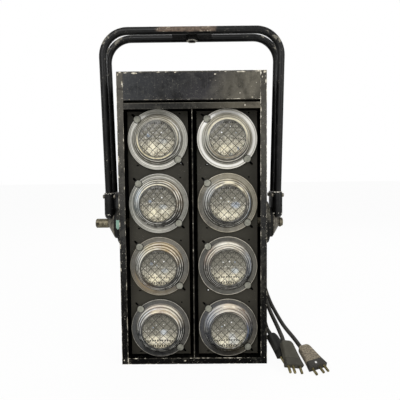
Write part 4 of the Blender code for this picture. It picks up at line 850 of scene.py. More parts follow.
# painted light, shade and reflections: colours round each lamp by direction, in degrees anticlockwise from its right;
# arcs are radius, half width, start, end, colour and strength; glows of painted light on the lens are x, z, half width,
# half height, colour and strength
lampLooks = {
    "left_1": {
        "bead": ("d9d6cc", 0.55), "phase": 0.6, "lines": 0.9, "gleam": 0.35, "low": 0.0,
        "rim": ((180, "b2b0a6"),),
        "wall": ((180, "aaa79b"), (225, "84806f"), (315, "5c5a52"), (0, "8c8a80"), (45, "b3ab97"), (135, "9d998b")),
        "arcs": ((53.0, 0.5, -60, 130, "e9e7de", 0.6), (51.4, 0.5, -60, 130, "77756d", 0.5),
                 (50.4, 0.9, 142, 322, "f6f3ea", 0.9), (53.4, 0.6, 150, 300, "e9e6dc", 0.7),
                 (52.0, 0.5, 150, 330, "77756d", 0.5), (36.2, 1.0, 165, 325, "f3e7c0", 0.95),
                 (38.8, 0.8, 195, 345, "1b1914", 0.85), (40.6, 0.6, 200, 335, "e3dfd2", 0.75),
                 (42.4, 0.8, 200, 345, "1d1b17", 0.85), (45.6, 0.8, 205, 320, "34322c", 0.7),
                 (40.3, 0.8, -55, 45, "26241f", 0.8), (42.4, 0.7, -50, 62, "faf8f0", 0.9),
                 (44.6, 0.6, -50, 70, "2f2d28", 0.7), (38.6, 0.7, -20, 60, "e9e0c4", 0.7)),
        "glow": ((-9, -17, 10, 15, "f1e9cf", 0.95), (9, -15, 10, 5, "dfd9c4", 0.8), (12, -5, 11, 6, "a8aeb3", 0.45),
                 (-15, 5, 5, 3, "7d94b4", 0.45)),
        "glints": ((9, 11, 1.5), (-6, 11, 1.0), (-16, 8, 1.3))},
    "right_1": {
        "bead": ("f2efe6", 0.7), "phase": 0.2, "lines": 0.8, "gleam": 0.4, "low": 0.0,
        "rim": ((180, "e8e5dc"), (315, "d5d1c4"), (0, "fffcf2"), (135, "fffaf0")),
        "wall": ((180, "cac8bd"), (225, "8c8776"), (315, "77736a"), (0, "b3ac98"), (90, "ddd7c2"), (135, "bdb7a4")),
        "arcs": ((50.8, 1.6, -170, 178, "ffffff", 0.75), (53.4, 0.5, -170, 178, "8c897f", 0.5),
                 (48.4, 0.5, -170, 178, "8c897f", 0.5), (50.5, 2.0, 140, 330, "f8f6f0", 0.85),
                 (51.0, 1.8, -40, 75, "f6f3ea", 0.75), (55.0, 1.3, 78, 102, "544b39", 0.9),
                 (53.2, 0.6, 110, 290, "b9b5aa", 0.6), (36.3, 1.1, 0, 180, "e6dcbc", 0.8),
                 (36.0, 1.2, 190, 330, "a3967c", 0.7), (38.6, 0.6, 60, 160, "5a5240", 0.7),
                 (40.4, 0.9, 175, 345, "17150f", 0.9), (42.2, 0.6, 180, 345, "f1ece0", 0.85),
                 (44.4, 1.0, 190, 345, "191712", 0.9), (40.6, 0.6, 20, 150, "857c68", 0.6),
                 (44.0, 0.6, 20, 150, "8f8878", 0.5)),
        "glow": ((-6, -20, 9, 9, "ece3c6", 0.9), (6, -16, 10, 5, "dbd3ba", 0.8), (-2, -1, 6, 4, "cbc5b0", 0.6),
                 (19, -19, 3.0, 5, "6d83a8", 0.6), (6, -30, 6, 4, "4c5c66", 0.6)),
        "glints": ((-11, 10, 1.7), (5, 21, 1.1), (15, 9, 0.9))},
    "left_2": {
        "bead": ("cfccc2", 0.5), "phase": 2.0, "lines": 1.0, "gleam": 0.28, "low": 0.15,
        "rim": ((180, "85877f"), (270, "98958b"), (315, "7f7e78"), (45, "908e84"), (135, "807f77")),
        "wall": ((180, "9ca2a2"), (225, "5a5850"), (270, "403e38"), (290, "1f1e1b"), (315, "292825"), (30, "938774"),
                 (60, "a29984"), (90, "8b8677"), (130, "d3d0c2"), (150, "c6cfd4")),
        "arcs": ((50.6, 0.8, 40, 300, "dfdcd1", 0.75), (53.6, 0.6, 150, 300, "cfccc1", 0.55),
                 (52.2, 0.5, 30, 300, "686860", 0.5), (48.3, 0.6, 60, 200, "57564f", 0.6),
                 (36.2, 1.0, 62, 165, "f0e6ca", 0.85), (40.5, 2.2, 144, 172, "e2e9ee", 0.85),
                 (41.6, 0.6, 15, 85, "e0cbab", 0.8), (43.8, 0.6, 0, 120, "d6cfbd", 0.7),
                 (38.9, 0.7, 20, 140, "4a4538", 0.7), (41.2, 2.6, 262, 342, "100f0d", 0.9),
                 (45.2, 0.7, 200, 345, "20201c", 0.7), (46.6, 0.6, 200, 300, "d0cdc2", 0.6)),
        "glow": ((-9, -16, 11, 12, "f1e8ca", 0.95), (13, -13, 8, 5, "ebe5cf", 0.75), (10, -5, 10, 6, "b9c1c6", 0.55),
                 (-14, 5, 5, 4, "7d94b4", 0.45)),
        "glints": ((8, 12, 1.5), (-7, 10, 1.1), (-13, 6, 1.1))},
    "right_2": {
        "bead": ("cbc2ab", 0.6), "phase": 1.0, "lines": 1.0, "gleam": 0.18, "low": 0.25,
        "rim": ((180, "605c53"), (225, "57534b"), (0, "918b7a"), (90, "8d8775")),
        "wall": ((180, "716f68"), (225, "393732"), (270, "2b2925"), (0, "726f67"), (45, "b5aa8f"), (60, "958b75"),
                 (90, "cdc4ab"), (120, "a39a85"), (150, "bfc1c1")),
        "arcs": ((41.0, 0.9, 122, 200, "f0f0ec", 0.85), (44.6, 0.6, 120, 200, "c3c2bb", 0.7),
                 (39.2, 2.2, 74, 98, "f7edd0", 0.9), (36.1, 1.1, 40, 62, "f7eecf", 0.9),
                 (36.0, 1.1, 108, 128, "f7eecf", 0.9), (38.0, 0.8, 20, 75, "e3d7b8", 0.7),
                 (36.4, 1.3, 195, 345, "131210", 0.9), (41.0, 0.8, 205, 300, "5e5a51", 0.7),
                 (44.4, 0.8, -60, 45, "24231f", 0.7), (42.2, 0.7, -45, 30, "a3b1c2", 0.8),
                 (46.8, 0.6, 100, 200, "a9a79f", 0.6), (53.8, 0.5, 200, 340, "8b8473", 0.6)),
        "glow": ((-9, -21, 11, 12, "f4ecd2", 0.95), (9, -23, 10, 8, "e9e2c9", 0.85), (14, -3, 11, 8, "a6b5cb", 0.6),
                 (0, 2, 6, 5, "d0cab8", 0.6)),
        "glints": ((-13, 10, 1.3), (12, 10, 1.2), (1, 4, 1.0))},
    "left_3": {
        "bead": ("b5ad9b", 0.6), "phase": 2.6, "lines": 0.8, "gleam": 0.12, "low": 0.7,
        "rim": ((180, "67635a"), (225, "7f7159"), (0, "5d5b55"), (45, "706c63")),
        "wall": ((180, "706e65"), (240, "6b583c"), (270, "383631"), (315, "282725"), (0, "504e4a"), (70, "b8a078"),
                 (90, "99876a"), (120, "c6ba99"), (150, "c3c3bd")),
        "arcs": ((44.6, 0.8, 18, 125, "d8c6a4", 0.85), (39.2, 0.8, 25, 118, "dccdb0", 0.8),
                 (41.9, 0.7, 20, 120, "6f5a3c", 0.7), (36.4, 1.0, 85, 165, "efead9", 0.85),
                 (36.2, 1.2, 195, 350, "141310", 0.9), (49.0, 1.0, 190, 260, "9c8460", 0.6),
                 (40.5, 0.8, 130, 190, "d9dad6", 0.7), (53.6, 0.5, 180, 300, "a09680", 0.5)),
        "glow": ((-8, -19, 13, 12, "f4eacb", 0.97), (12, -18, 10, 9, "e9dfc4", 0.85), (12, -4, 9, 6, "bcc4ca", 0.55),
                 (-13, 9, 4, 4, "7d94b4", 0.4)),
        "glints": ((10, 13, 1.6), (-7, 13, 1.3), (-3, 6, 0.9))},
    "right_3": {
        "bead": ("cdc6b6", 0.8), "phase": 0.9, "lines": 1.0, "gleam": 0.09, "low": 0.85,
        "rim": ((180, "464541"), (315, "54524a"), (0, "646157"), (90, "494742")),
        "wall": ((180, "5f5a54"), (315, "2f2e2b"), (0, "474b53"), (30, "8a8883"), (60, "b2a894"), (90, "efe8d6"),
                 (150, "9f9286")),
        "arcs": ((43.6, 1.4, 58, 118, "fff9ea", 0.9), (40.4, 0.7, 45, 172, "ece3cf", 0.85),
                 (42.0, 0.5, 40, 170, "57503f", 0.7), (42.5, 0.7, -25, 42, "c9cfd9", 0.75),
                 (44.4, 0.7, 128, 178, "cfb9a9", 0.8), (35.4, 1.0, 55, 310, "171613", 0.85),
                 (38.2, 0.7, 90, 175, "cfc3b0", 0.7), (38.4, 0.7, -40, 45, "6b7078", 0.6),
                 (47.4, 0.5, 40, 180, "8f8a7d", 0.6)),
        "glow": ((-9, -21, 11, 13, "f8efd4", 0.97), (10, -19, 11, 10, "eee5ca", 0.88), (12, -5, 9, 7, "c8d0d6", 0.65),
                 (-14, -12, 8, 7, "c9c1a8", 0.6)),
        "glints": ((2, 12, 1.7), (-10, 11, 1.4), (12, 11, 1.2))},
    "left_4": {
        "bead": ("b9b4a8", 0.75), "phase": 1.6, "lines": 1.0, "gleam": 0.09, "low": 1.0,
        "rim": ((180, "454646"), (270, "3b3b3b"), (0, "4d4a44")),
        "wall": ((180, "4f5154"), (225, "363738"), (315, "2b2b2b"), (0, "494949"), (45, "cfc3ac"), (70, "e9ddc6"),
                 (90, "b59f8b"), (110, "d8c6b2"), (130, "d6d3cb")),
        "arcs": ((44.6, 0.7, 28, 125, "f6eedd", 0.85), (41.0, 0.6, 95, 175, "e2e8ef", 0.85),
                 (38.2, 0.8, 18, 122, "dfccae", 0.8), (42.8, 0.5, 20, 130, "5b5040", 0.65),
                 (36.9, 1.4, 92, 112, "f7ebcb", 0.9), (35.4, 0.9, -60, 60, "161614", 0.8),
                 (46.8, 0.5, 30, 200, "87837a", 0.6), (37.6, 0.6, 200, 330, "57544b", 0.6)),
        "glow": ((-10, -16, 13, 11, "f6edd3", 0.95), (9, -15, 13, 10, "f1ead8", 0.9), (8, -1, 8, 7, "dfe6ee", 0.7),
                 (0, -28, 14, 3.5, "ebdfbd", 0.85)),
        "glints": ((-6, 13, 1.0), (8, 14, 1.0), (-12, 8, 1.1))},
    "right_4": {
        "bead": ("c3bdad", 0.8), "phase": 0.4, "lines": 1.0, "gleam": 0.09, "low": 0.9,
        "rim": ((180, "36383e"), (270, "3f3c35"), (315, "5a5447"), (0, "444038")),
        "wall": ((180, "45484e"), (225, "2f3036"), (290, "756c57"), (315, "35322b"), (0, "3b4250"), (50, "9c8b79"),
                 (90, "efe0c9"), (150, "8f939a")),
        "arcs": ((43.0, 1.9, 68, 104, "fff4df", 0.9), (41.8, 0.6, 128, 178, "d6dae2", 0.85),
                 (44.6, 0.6, 118, 178, "cccfd6", 0.8), (38.6, 0.6, 120, 175, "b3bbca", 0.7),
                 (36.6, 0.8, -28, 22, "566a90", 0.7), (35.3, 1.0, 55, 310, "12120f", 0.9),
                 (40.4, 0.6, 20, 120, "6b5f4f", 0.6), (38.0, 0.7, 235, 330, "c9be9f", 0.6),
                 (46.8, 0.5, 20, 200, "8d8a83", 0.6)),
        "glow": ((-10, -22, 12, 12, "f4edd4", 0.97), (10, -19, 13, 10, "dfdfd9", 0.88),
                 (6, -11, 9, 10, "d3d6d8", 0.6)),
        "glints": ((5, 17, 1.5), (-8, 12, 1.5), (-13, 9, 1.2))},
}


def lensTree():
    tree = NodeTree("pillow lens", {"Radius": 0.03, "Cell": 0.01, "Crown": 0.003, "Pillow": 0.0007,
                                    "Cells": 4, "Fine": 6, "Material": None})
    start = tree.start
    cells, fine, cell, radius = (tree.given(k) for k in ("Cells", "Fine", "Cell", "Radius"))
    count = cells * 2 * fine + 1
    size = cells * 2 * cell
    grid = start.node("GeometryNodeMeshGrid", None, {0: size, 1: size, 2: count, 3: count})
    place = start.node("GeometryNodeInputPosition")
    reach = place.node("ShaderNodeVectorMath", {"operation": "LENGTH"}, {0: place}, 1)
    outside = reach.calc("GREATER_THAN", radius + cell / fine * 0.7)
    kept = start.node("GeometryNodeDeleteGeometry", {"domain": "FACE"}, {"Geometry": grid, "Selection": outside})
    x, y, _ = place.axes()

    def hump(value):
        share = (value / cell).calc("FRACT")
        return (1.0 - (share * 2 - 1) ** 2).calc("MAXIMUM", 0.0)

    shrink = (radius / reach.calc("MAXIMUM", 1e-6)).calc("MINIMUM", 1.0)
    share = (reach / radius).calc("MINIMUM", 1.0)
    lift = (tree.given("Crown") * (1.0 - share * share)
            + tree.given("Pillow") * hump(x) * hump(y) * share.fall(0.93, 1.0))
    spot = start.node("ShaderNodeCombineXYZ", None, {0: x * shrink, 1: y * shrink, 2: lift})
    placed = start.node("GeometryNodeSetPosition", None, {"Geometry": kept, "Position": spot})
    turnedRound = start.node("GeometryNodeTransform", None, {"Geometry": placed,
                                                             "Rotation": (0.0, 0.0, math.radians(45))})
    return tree.leave(turnedRound)


def lampPlane(place):
    # millimetres across and up from the middle of the lamp, and the piece's own coordinates
    centred = place.node("ShaderNodeVectorMath", {"operation": "SUBTRACT"}, {0: place, 1: (0.5, 0.5, 0.0)})
    scaled = centred.node("ShaderNodeVectorMath", {"operation": "SCALE"},
                          {0: centred, "Scale": lampSizes["span"] * 1000})
    x, z, _ = scaled.axes()
    return x, z, place.node("ShaderNodeTexCoord", out=3)


def wheel(angle, stops):
    # colour by direction, with the left side at both ends of the ramp
    places = sorted(((degrees / 360 + 0.5) % 1.0, colour) for degrees, colour in stops)
    return (angle / math.tau + 0.5).ramp(*places, (1.0, dict(stops)[180]))


def arc(radius, angle, at, half, start, end):
    middle, reach = math.radians((start + end) / 2), math.radians((end - start) / 2)
    facing = (angle - middle).calc("COSINE")
    return (abs(radius - at).fall(half * 0.5, half * 1.3)
            * facing.rise(math.cos(reach + 0.10), math.cos(max(reach - 0.40, 0.05))))


def lampGlass(name, looks):
    # pressed glass, with painted rings of light and dark from the room, the box and the tray behind it
    material, shader, place = newFinish(name, uv=True)
    x, z, body = lampPlane(place)
    wobble = body.grain(42.0, 3.0, 0.6)
    broken = body.grain(90.0, 3.0, 0.6)
    radius = (x * x + z * z) ** 0.5 + (wobble - 0.5) * 1.2
    angle = z.calc("ARCTAN2", x)
    sizes = ringSizes
    # painted light and shade: rim and wall colours by direction, with painted bright and dark lines on the glass rings
    lines = (radius * (math.tau / sizes["wallPitch"]) + looks["phase"]).calc("SINE") * 0.5 + 0.5
    sparse = broken.rise(0.35, 0.6)
    wall = layered(wheel(angle, looks["wall"]), (lines.rise(0.55, 0.90) * sparse * (0.62 * looks["lines"]), "fdfbf2"),
                   (lines.fall(0.10, 0.50) * (0.78 * looks["lines"]), "100f0c"))
    fine = (radius * (math.tau / sizes["rimPitch"])).calc("SINE") * 0.5 + 0.5
    rim = layered(wheel(angle, looks["rim"]), (fine.rise(0.5, 1.0) * sparse * looks["gleam"], "f2efe4"),
                  (fine.fall(0.0, 0.4) * 0.30, "2a2925"))
    base = radius.rise(sizes["wall"], sizes["rim"]).blend(wall, rim)
    # painted reflections: arcs of light and dark round the lamp
    for at, half, start, end, colour, strength in looks["arcs"]:
        mask = arc(radius, angle, at, half, start, end) * (0.55 + broken.rise(0.32, 0.52) * 0.45)
        base = (mask * strength).blend(base, colour)
    # painted shadow and reflection: a dark ring in the glass round each clip pad
    for side in (1, -1):
        a, b = x + sizes["clip"] * side, z - sizes["clip"] * side
        base = (abs((a * a + b * b) ** 0.5 - sizes["clipRadius"]).fall(0.4, 1.2) * 0.9).blend(base, "1f1e1a")
    # painted shade in the groove and a painted highlight on the bead
    beadTone, bead = looks["bead"]
    base = layered(base, (abs(radius - sizes["groove"]).fall(0.2, 0.8) * 0.45, "24231f"),
                   (abs(radius - sizes["bead"]).fall(0.3, 0.8) * (0.5 + broken.rise(0.3, 0.6) * 0.5) * bead, beadTone))
    feed(shader, colour=base, rough=0.14 + wobble * 0.12, specular=0.4, coat=0.25, coatRough=0.05,
         bump=wobble, bumpDepth=0.0003, bumpStrength=0.2)
    return material


def lensGlass(name, looks):
    # pillowed lens over the silvered bowl, painted with its reflections: the pale floor shows in its lower half, the
    # dim room above
    material, shader, place = newFinish(name, uv=True)
    x, z, body = lampPlane(place)
    radius = (x * x + z * z) ** 0.5
    low = looks["low"]
    crumb = body.grain(430.0, 3.0, 0.65)
    soft = body.grain(95.0, 2.0, 0.5)

    def patch(cx, cz, rx, rz):
        a, b = (x - cx) / rx, (z - cz) / rz
        return (a * a + b * b + (soft - 0.5) * 0.9).fall(0.0, 1.0)

    def dashes(name):
        level, half, pitch, shift = lensRows[name]
        row = abs(z - level + x * x * 0.004).fall(half * 0.5, half * 1.2)
        return row * (x * (math.tau / pitch) + shift).calc("SINE").rise(-0.5, 0.1)

    def groove(value):
        share = (value * (0.70711 / (lampSizes["cell"] * 1000)) + 8.0).calc("FRACT")
        return (abs(share - 0.5)).rise(0.442, 0.466)

    height = (z / 68.0) + 0.5 + (soft - 0.5) * 0.10
    base = height.ramp((0.0, "aba38c"), (0.25, "b8b19b"), (0.42, "9c9788"), (0.55, "787569"), (0.75, "706d62"),
                       (1.0, "5f5c52"))
    # painted glows of reflected light on the lens
    for cx, cz, rx, rz, colour, strength in looks["glow"]:
        base = (patch(cx, cz, rx, rz) * strength).blend(base, colour)
    # painted reflections from the bowl behind: hatching, specks, dashed rows and teeth, with painted shade in the
    # grooves between the pillows
    hatch = (x * (math.tau / 3.4)).calc("SINE").rise(-0.2, 0.8) * (x + z * -0.4).fall(-16.0, 2.0) * 0.45
    teeth = (x * (math.tau / 3.2)).calc("SINE").rise(-0.3, 0.3) * radius.rise(27.6, 28.6)
    teeth = teeth * radius.fall(31.6, 32.6) * z.rise(6.0, 16.0)
    lines = groove(x + z).calc("MAXIMUM", groove(x - z)) * (0.80 + z.fall(-10.0, 10.0) * 0.20)
    base = layered(
        base, (hatch, "3c3a32"), (crumb.rise(0.54, 0.64) * (0.16 + z.fall(-20.0, 10.0) * 0.60), "f8f3e2"),
        (crumb.fall(0.34, 0.48) * (0.36 + z.fall(-20.0, 10.0) * 0.36), "2a2720"),
        (dashes("bright") * crumb.rise(0.4, 0.55) * 0.55, "efece2"),
        (dashes("middle") * (0.60 + x.rise(0.0, 10.0) * 0.35) * (1.0 - 0.6 * low), "1f1d18"),
        (dashes("upper") * (0.75 - 0.3 * low), "2a2820"),
        (dashes("top") * abs(x).fall(13.0, 18.0) * (1.0 - 0.5 * low), "14120d"),
        (dashes("lower") * low, "2c2820"), (dashes("bottom") * (0.25 + 0.75 * low), "241f17"),
        (teeth * (0.55 - 0.2 * low), "1c1a15"), (lines, "1d1a13"))
    # painted glints, the third one bluish
    for i, (cx, cz, size) in enumerate(looks["glints"]):
        a, b = x - cx, z - cz
        spot = ((a * a + b * b) ** 0.5).fall(size * 0.4, size)
        base = spot.blend(base, "b4c6de" if i == 2 else "ffffff")
    # painted shade: a dark ring round the edge of the lens
    base = (radius.rise(30.6, 33.6) * 0.75).blend(base, "211e18")
    feed(shader, colour=base, rough=0.22 + crumb * 0.2, specular=0.35, coat=0.2, coatRough=0.10,
         bump=crumb, bumpDepth=0.0003, bumpStrength=0.25)
    return material


def makeLamp(name, column, height, looks, lensMesh, side):
    shape = bmesh.new()
    spot = Matrix.Translation((column, lampSizes["rimFront"], height))
    mm = Matrix.Diagonal((0.001, 0.001, 0.001, 1.0))
    turned(shape, glassProfile + backProfile, "Y", 96, place=spot @ mm)
    turned(shape, reflectorProfile, "Y", 96, slot=2, place=spot @ mm)
    sizes = spadeSizes
    for offset in (-sizes["offset"], sizes["offset"]):
        block(shape, (offset - sizes["halfWide"], sizes["start"], -sizes["halfThick"]),
              (offset + sizes["halfWide"], sizes["end"], sizes["halfThick"]), 3, spot)
    lens = bmesh.new()
    lens.from_mesh(lensMesh)
    stand = spot @ Matrix.Translation((0, -lampSizes["lensRise"], 0)) @ Matrix.Rotation(math.radians(90), 4, "X")
    for vert in lens.verts:
        vert.co = stand @ vert.co
    for face in lens.faces:
        face.material_index = 1
    spare = bpy.data.meshes.new("spare")
    lens.to_mesh(spare)
    lens.free()
    shape.from_mesh(spare)
    uv = shape.loops.layers.uv.new("face")
    for face in shape.faces:
        for loop in face.loops:
            local = loop.vert.co - spot.translation
            loop[uv].uv = (0.5 + local.x / lampSizes["span"], 0.5 + local.z / lampSizes["span"])
    lamp = asPiece(name, shape, [lampGlass(name + " glass", looks), lensGlass(name + " lens", looks),
                                 plainFinish(name + " reflector", "8c8a84", 0.3, 0.8),
                                 plainFinish(name + " spade", "a9a184", 0.35, 0.8)], 28)
    handOver(lamp, "tray_" + side, name)


def makeLamps():
    grown = seedMesh("lensSeed")
    lens = lensTree().on(grown, {"Radius": lampSizes["lens"], "Cell": lampSizes["cell"], "Crown": lampSizes["crown"],
                                 "Pillow": lampSizes["pillow"], "Cells": 4, "Fine": lampSizes["fine"]})
    mesh = lens.data
    bpy.data.objects.remove(lens)
    for side, column in lampSizes["columns"].items():
        for row, height in enumerate(lampSizes["heights"], 1):
            makeLamp(f"lamp_{side}_{row}", column, height, lampLooks[f"{side}_{row}"], mesh, side)


makeLamps()
print("lamps made")


# lamp clips

clipSizes = {"pad": 0.0062, "inset": 0.0055, "rest": 0.0587, "front": -0.0469, "back": -0.0453, "shank": 0.0016,
             "washerFront": -0.0379, "washer": 0.0036, "washerThick": 0.0016, "edge": 0.0002, "washerEdge": 0.0003}


def makeClip(side, row, end):
    sizes = clipSizes
    angle = math.radians(135 if end == "upper" else -45)
    place = Matrix.Translation((lampSizes["columns"][side] + sizes["rest"] * math.cos(angle), 0.0,
                                lampSizes["heights"][row - 1] + sizes["rest"] * math.sin(angle)))
    place = place @ Matrix.Rotation(-angle, 4, "Y")
    shape = bmesh.new()
    front, back, pad, edge = (sizes[key] for key in ("front", "back", "pad", "edge"))
    turned(shape, ((0.0, back), (pad - edge, back), (pad, back - edge), (pad, front + 0.0005),
                   (pad - edge, front + edge), (pad - 0.0008, front), (0.0, front)), "Y", 40,
           (-sizes["inset"], 0.0), 0, place)
    shank, low, start = sizes["shank"], sizes["washerFront"], back - 0.0006
    turned(shape, ((0.0, start), (shank, start), (shank, low), (0.0, low + edge)), "Y", 20, slot=1, place=place)
    wide, high, edge = sizes["washer"], low + sizes["washerThick"], sizes["washerEdge"]
    turned(shape, ((0.0, low), (wide - edge, low), (wide, low + edge), (wide, high - edge), (wide - edge, high),
                   (0.0, high)), "Y", 6, slot=1, place=place)
    name = f"clip_{side}_{row}_{end}"
    clip = asPiece(name + "_plate", shape, [clipFinish, shankFinish], 40)
    handOver(clip, name, name)


clipFinish = zincPad("clip zinc")
shankFinish = plainFinish("clip shank black", "121211", 0.6)
for side in lampSizes["columns"]:
    for row in (1, 2, 3, 4):
        for end in ("upper", "lower"):
            makeClip(side, row, end)
print("clips made")


# yoke

yokeSizes = {"pivot": 0.260, "tube": 0.00725, "spacing": 0.0425, "rise": 0.3695, "splay": 0.0075, "bend": 0.0475,
             "sleeveX": 0.1636, "sleeveTop": 0.0615, "foot": 0.030, "sleeveWide": 0.0190, "sleeveLong": 0.0614,
             "shoulder": 0.0215, "toe": 0.011, "toeWide": 0.0090, "toeLong": 0.0420, "head": 0.0038,
             "headProud": 0.0026, "headDrop": 0.0070}


def tubeTree():
    tree = NodeTree("bent tube", {"Bend": 0.048, "Bend Steps": 14, "Tube Radius": 0.007, "Sides": 32, "Material": None})
    start = tree.start
    inlet = Flow(tree.group, tree.entry.outputs[0])
    bent = start.node("GeometryNodeFilletCurve", None, {"Curve": inlet, "Radius": tree.given("Bend"),
                                                        "Limit Radius": False})
    bent.socket.node.mode = "POLY"
    tree.group.links.new(tree.given("Bend Steps").socket, bent.socket.node.inputs["Count"])
    round_ = start.node("GeometryNodeCurvePrimitiveCircle", None, {"Resolution": tree.given("Sides"),
                                                                   "Radius": tree.given("Tube Radius")})
    skin = start.node("GeometryNodeCurveToMesh", None, {"Curve": bent, "Profile Curve": round_, "Fill Caps": True})
    return tree.leave(skin)


def tubeCorners(row):
    sizes = yokeSizes
    y = row * sizes["spacing"] / 2
    topX = sizes["sleeveX"] + sizes["splay"]
    share = (sizes["foot"] - sizes["sleeveTop"]) / (sizes["rise"] - sizes["sleeveTop"])
    footX = sizes["sleeveX"] + sizes["splay"] * share
    foot, crown = sizes["pivot"] + sizes["foot"], sizes["pivot"] + sizes["rise"]
    return (-footX, y, foot), (-topX, y, crown), (topX, y, crown), (footX, y, foot)


def makeTube(name, row, tree):
    curve = bpy.data.curves.new(name, "CURVE")
    curve.dimensions = "3D"
    line = curve.splines.new("POLY")
    corners = tubeCorners(row)
    line.points.add(len(corners) - 1)
    for spot, corner in zip(line.points, corners):
        spot.co = (*corner, 1.0)
    made = bpy.data.objects.new(name + "_pipe", curve)
    bpy.context.scene.collection.objects.link(made)
    tube = tree.on(made, {"Bend": yokeSizes["bend"], "Tube Radius": yokeSizes["tube"],
                          "Material": yokeEnamel(name + " enamel")})
    tube.name = name + "_pipe"
    tube.data.shade_smooth()
    tube.data.set_sharp_from_angle(angle=math.radians(50))
    handOver(tube, "yoke", name)


pipes = tubeTree()
makeTube("yoke_tube_front", -1, pipes)
makeTube("yoke_tube_rear", 1, pipes)


hubTones = {"left": ("34312b", "857f72", 0.45, 0.45, 0.6), "right": ("191815", "746e62", 0.45, 0.40, 1.0)}
# profiles are radius and distance from the middle of the box
pivotRounds = {
    "hub": {"end": "cone", "steps": 64, "body": "yoke", "slot": "bare_steel",
            "profile": ((0.0063, 0.1541), (0.0292, 0.1541), (0.0300, 0.1547), (0.0300, 0.1561), (0.0290, 0.1569),
                        (0.0100, 0.1683), (0.0092, 0.1693), (0.0088, 0.1703), (0.0084, 0.1705), (0.0063, 0.1705))},
    "base_disc": {"end": "dish", "steps": 72, "body": "housing", "slot": "housing_paint",
                  "profile": ((0.0420, 0.1363), (0.0420, 0.1463), (0.0412, 0.1473), (0.0400, 0.1475),
                              (0.0065, 0.1475), (0.0065, 0.1450), (0.0395, 0.1450), (0.0395, 0.1363))},
    "friction_washer": {"end": "ring", "steps": 64, "body": "housing", "slot": "black_moulding",
                        "profile": ((0.0300, 0.1481), (0.0300, 0.1533), (0.0295, 0.1538), (0.0065, 0.1538),
                                    (0.0065, 0.1478), (0.0297, 0.1478))},
}


def pivotFinish(piece, side):
    if piece == "hub":
        return agedSteel(f"hub {side} steel", *hubTones[side])
    if piece == "base_disc":
        return dishPaint(f"dish {side} paint", side)
    return rubberCord(f"washer {side}", "141414", "242422")


def makePivotRounds():
    for side, mirror in (("left", -1), ("right", 1)):
        for piece, sizes in pivotRounds.items():
            shape = bmesh.new()
            turned(shape, [(r, mirror * t) for r, t in sizes["profile"]], "X", sizes["steps"],
                   (0.0, yokeSizes["pivot"]))
            made = asPiece(f"{piece}_{side}_{sizes['end']}", shape, [pivotFinish(piece, side)], 30)
            handOver(made, sizes["body"], f"{piece}_{side}")


knobSizes = {"pin": -0.1908,
             "profile": ((0.0, -0.1958), (0.0072, -0.1958), (0.0084, -0.1952), (0.0092, -0.1942), (0.0092, -0.1724),
                         (0.0088, -0.1711), (0.0080, -0.1708), (0.0063, -0.1708), (0.0063, -0.1832), (0.0, -0.1834)),
             "pinProfile": ((0.0, -0.0103), (0.0016, -0.0103), (0.0022, -0.0098), (0.0022, 0.0098),
                            (0.0016, 0.0103), (0.0, 0.0103))}


def makeKnob():
    shape = bmesh.new()
    turned(shape, knobSizes["profile"], "X", 48, (0.0, yokeSizes["pivot"]))
    pin = Matrix.Translation((knobSizes["pin"], 0.0, yokeSizes["pivot"]))
    turned(shape, knobSizes["pinProfile"], "Y", 24, place=pin)
    knob = asPiece("knob_barrel", shape, [agedSteel("knob steel", "1f1c14", "867e68", 0.7, 0.34, 1.0)], 30)
    handOver(knob, "knob", "barrel_knob")


def makeSleeve(side):
    sizes = yokeSizes
    mirror = -1 if side == "left" else 1
    centreX = mirror * sizes["sleeveX"]
    shape = bmesh.new()

    def oval(long, wide, height, steps=10):
        reach = (long - wide) / 2
        points = []
        for end in (1, -1):
            for i in range(steps + 1):
                angle = math.pi * (i / steps - 0.5)
                points.append((centreX + end * wide / 2 * math.sin(angle), end * (reach + wide / 2 * math.cos(angle)),
                               sizes["pivot"] + height))
        return points

    long, wide = sizes["sleeveLong"], sizes["sleeveWide"]
    top = sizes["sleeveTop"]
    rings = []
    for i in range(9):
        angle = math.pi / 2 * i / 8
        rings.append(oval(sizes["toeLong"] + (long - sizes["toeLong"]) * math.sin(angle),
                          sizes["toeWide"] + (wide - sizes["toeWide"]) * math.sin(angle),
                          sizes["shoulder"] - (sizes["shoulder"] - sizes["toe"]) * math.cos(angle)))
    rings += [oval(long, wide, top - 0.0012), oval(long - 0.0006, wide - 0.0006, top - 0.0003),
              oval(long - 0.0016, wide - 0.0016, top), oval(long - 0.0044, wide - 0.0044, top),
              oval(long - 0.0050, wide - 0.0050, top - 0.0030)]
    loft(shape, rings)
    bolt = sizes["pivot"] + top - sizes["headDrop"]
    head, face = sizes["head"], wide / 2
    for row in (-1, 1):
        for way in (-1, 1):
            low, high = centreX + way * (face - 0.0008), centreX + way * (face + sizes["headProud"])
            rim, socket = high - way * 0.0007, high - way * 0.0008
            turned(shape, ((0.0, low), (head, low), (head, rim), (head - 0.0007, high), (head * 0.45, high),
                           (head * 0.40, socket), (0.0, socket)), "X", 20, (row * sizes["spacing"] / 2, bolt), 1)
    sleeve = asPiece(f"sleeve_{side}_socket", shape,
                     [yokeEnamel(f"sleeve {side} enamel", False, sleeveRims),
                      agedSteel(f"sleeve {side} bolts", "57534a", "a8a294")], 40)
    handOver(sleeve, "yoke", "sleeve_" + side)


makePivotRounds()
makeKnob()
makeSleeve("left")
makeSleeve("right")
print("yoke made")


# finishes of the solids that stay as they are

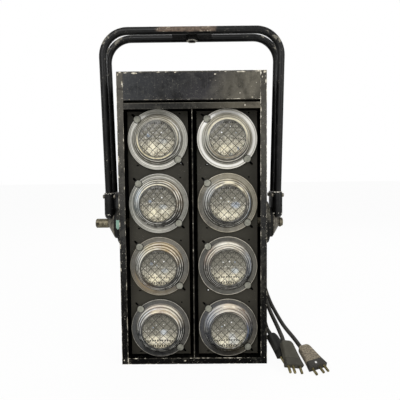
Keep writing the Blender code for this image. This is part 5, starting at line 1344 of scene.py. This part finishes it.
boxChips = ((-133.4, 537.0, 2.0, 3.0), (-129.5, 540.5, 3.0, 1.6), (-126.0, 522.0, 1.2, 5.0), (132.6, 539.0, 3.4, 2.2),
            (134.4, 523.9, 1.4, 6.0), (128.0, 530.0, 1.6, 2.4), (121.7, 540.3, 4.0, 1.2), (125.4, 472.4, 1.3, 5.0),
            (125.2, 459.0, 1.0, 2.0), (-134.6, 383.0, 1.0, 11.0), (-134.8, 352.0, 0.9, 2.6), (-134.8, 300.0, 0.9, 3.4),
            (-134.8, 284.0, 0.9, 2.2), (-135.0, 265.0, 1.0, 6.5), (-134.8, 222.9, 1.2, 8.0), (-134.8, 180.0, 1.0, 6.0),
            (-125.2, 420.0, 0.8, 3.0), (-125.2, 331.0, 0.8, 4.0), (-125.2, 268.0, 0.9, 5.0), (-17.9, 6.4, 3.4, 1.8),
            (125.4, 22.2, 0.6, 3.0), (131.0, 12.0, 1.0, 1.4), (-132.0, 8.0, 1.2, 1.4))
coverChips = ((-103.4, 538.8, 7.0, 1.8), (-119.6, 539.6, 3.0, 1.2), (-29.4, 539.4, 2.2, 1.4), (42.6, 535.6, 2.6, 1.3),
              (62.0, 539.8, 4.0, 0.8), (87.6, 539.4, 11.0, 1.0), (-113.4, 492.0, 2.4, 1.2), (87.5, 501.4, 1.4, 1.2),
              (109.1, 494.0, 2.0, 1.5), (-60.0, 539.8, 3.0, 0.8), (20.0, 539.9, 2.0, 0.7), (117.0, 520.0, 0.8, 1.0))
kept = {
    "housing_shell": paintedSteel("box paint", shellCoat, shellEdges, level=0.49, streaks=0.10, grit=0.9,
                                  spots=boxChips),
    "back_panel": paintedSteel("back panel paint", panelCoat),
    "top_cover": paintedSteel("cover paint", coverCoat, coverEdges, level=0.515, streaks=0.15, spots=coverChips),
    "terminal_shelf": paintedSteel("bar paint", barCoat, barEdges, level=0.56, streaks=0.12,
                                   spots=((96.4, 480.2, 1.2, 2.2),)),
    "divider": edgedBlack("divider paint"),
    "tray_left": mattBlack("tray left paint"),
    "tray_right": mattBlack("tray right paint"),
    "yoke_plate": paintedSteel("plate paint", evenCoat("050505", "0d0d0d"), streaks=0.0, grit=0.2),
    "yoke_nut": nutFinish("nut steel"),
    "pivot_bolt_left": agedSteel("left bolt steel"),
    "pivot_bolt_right": agedSteel("right bolt steel", "1f1d17", "8f8773", 0.7, 0.36, 1.0),
    "tray_pivot_left": zincPad("left pin zinc"),
    "tray_pivot_right": zincPad("right pin zinc"),
    "gland_plate": rubberCord("gland moulding", "1b1b1a", "2a2a28"),
    "terminal_block": rubberCord("terminal moulding", "23211e", "33302b"),
}
for name, material in kept.items():
    nodes[name].data.materials.clear()
    nodes[name].data.materials.append(material)
print("finishes set")
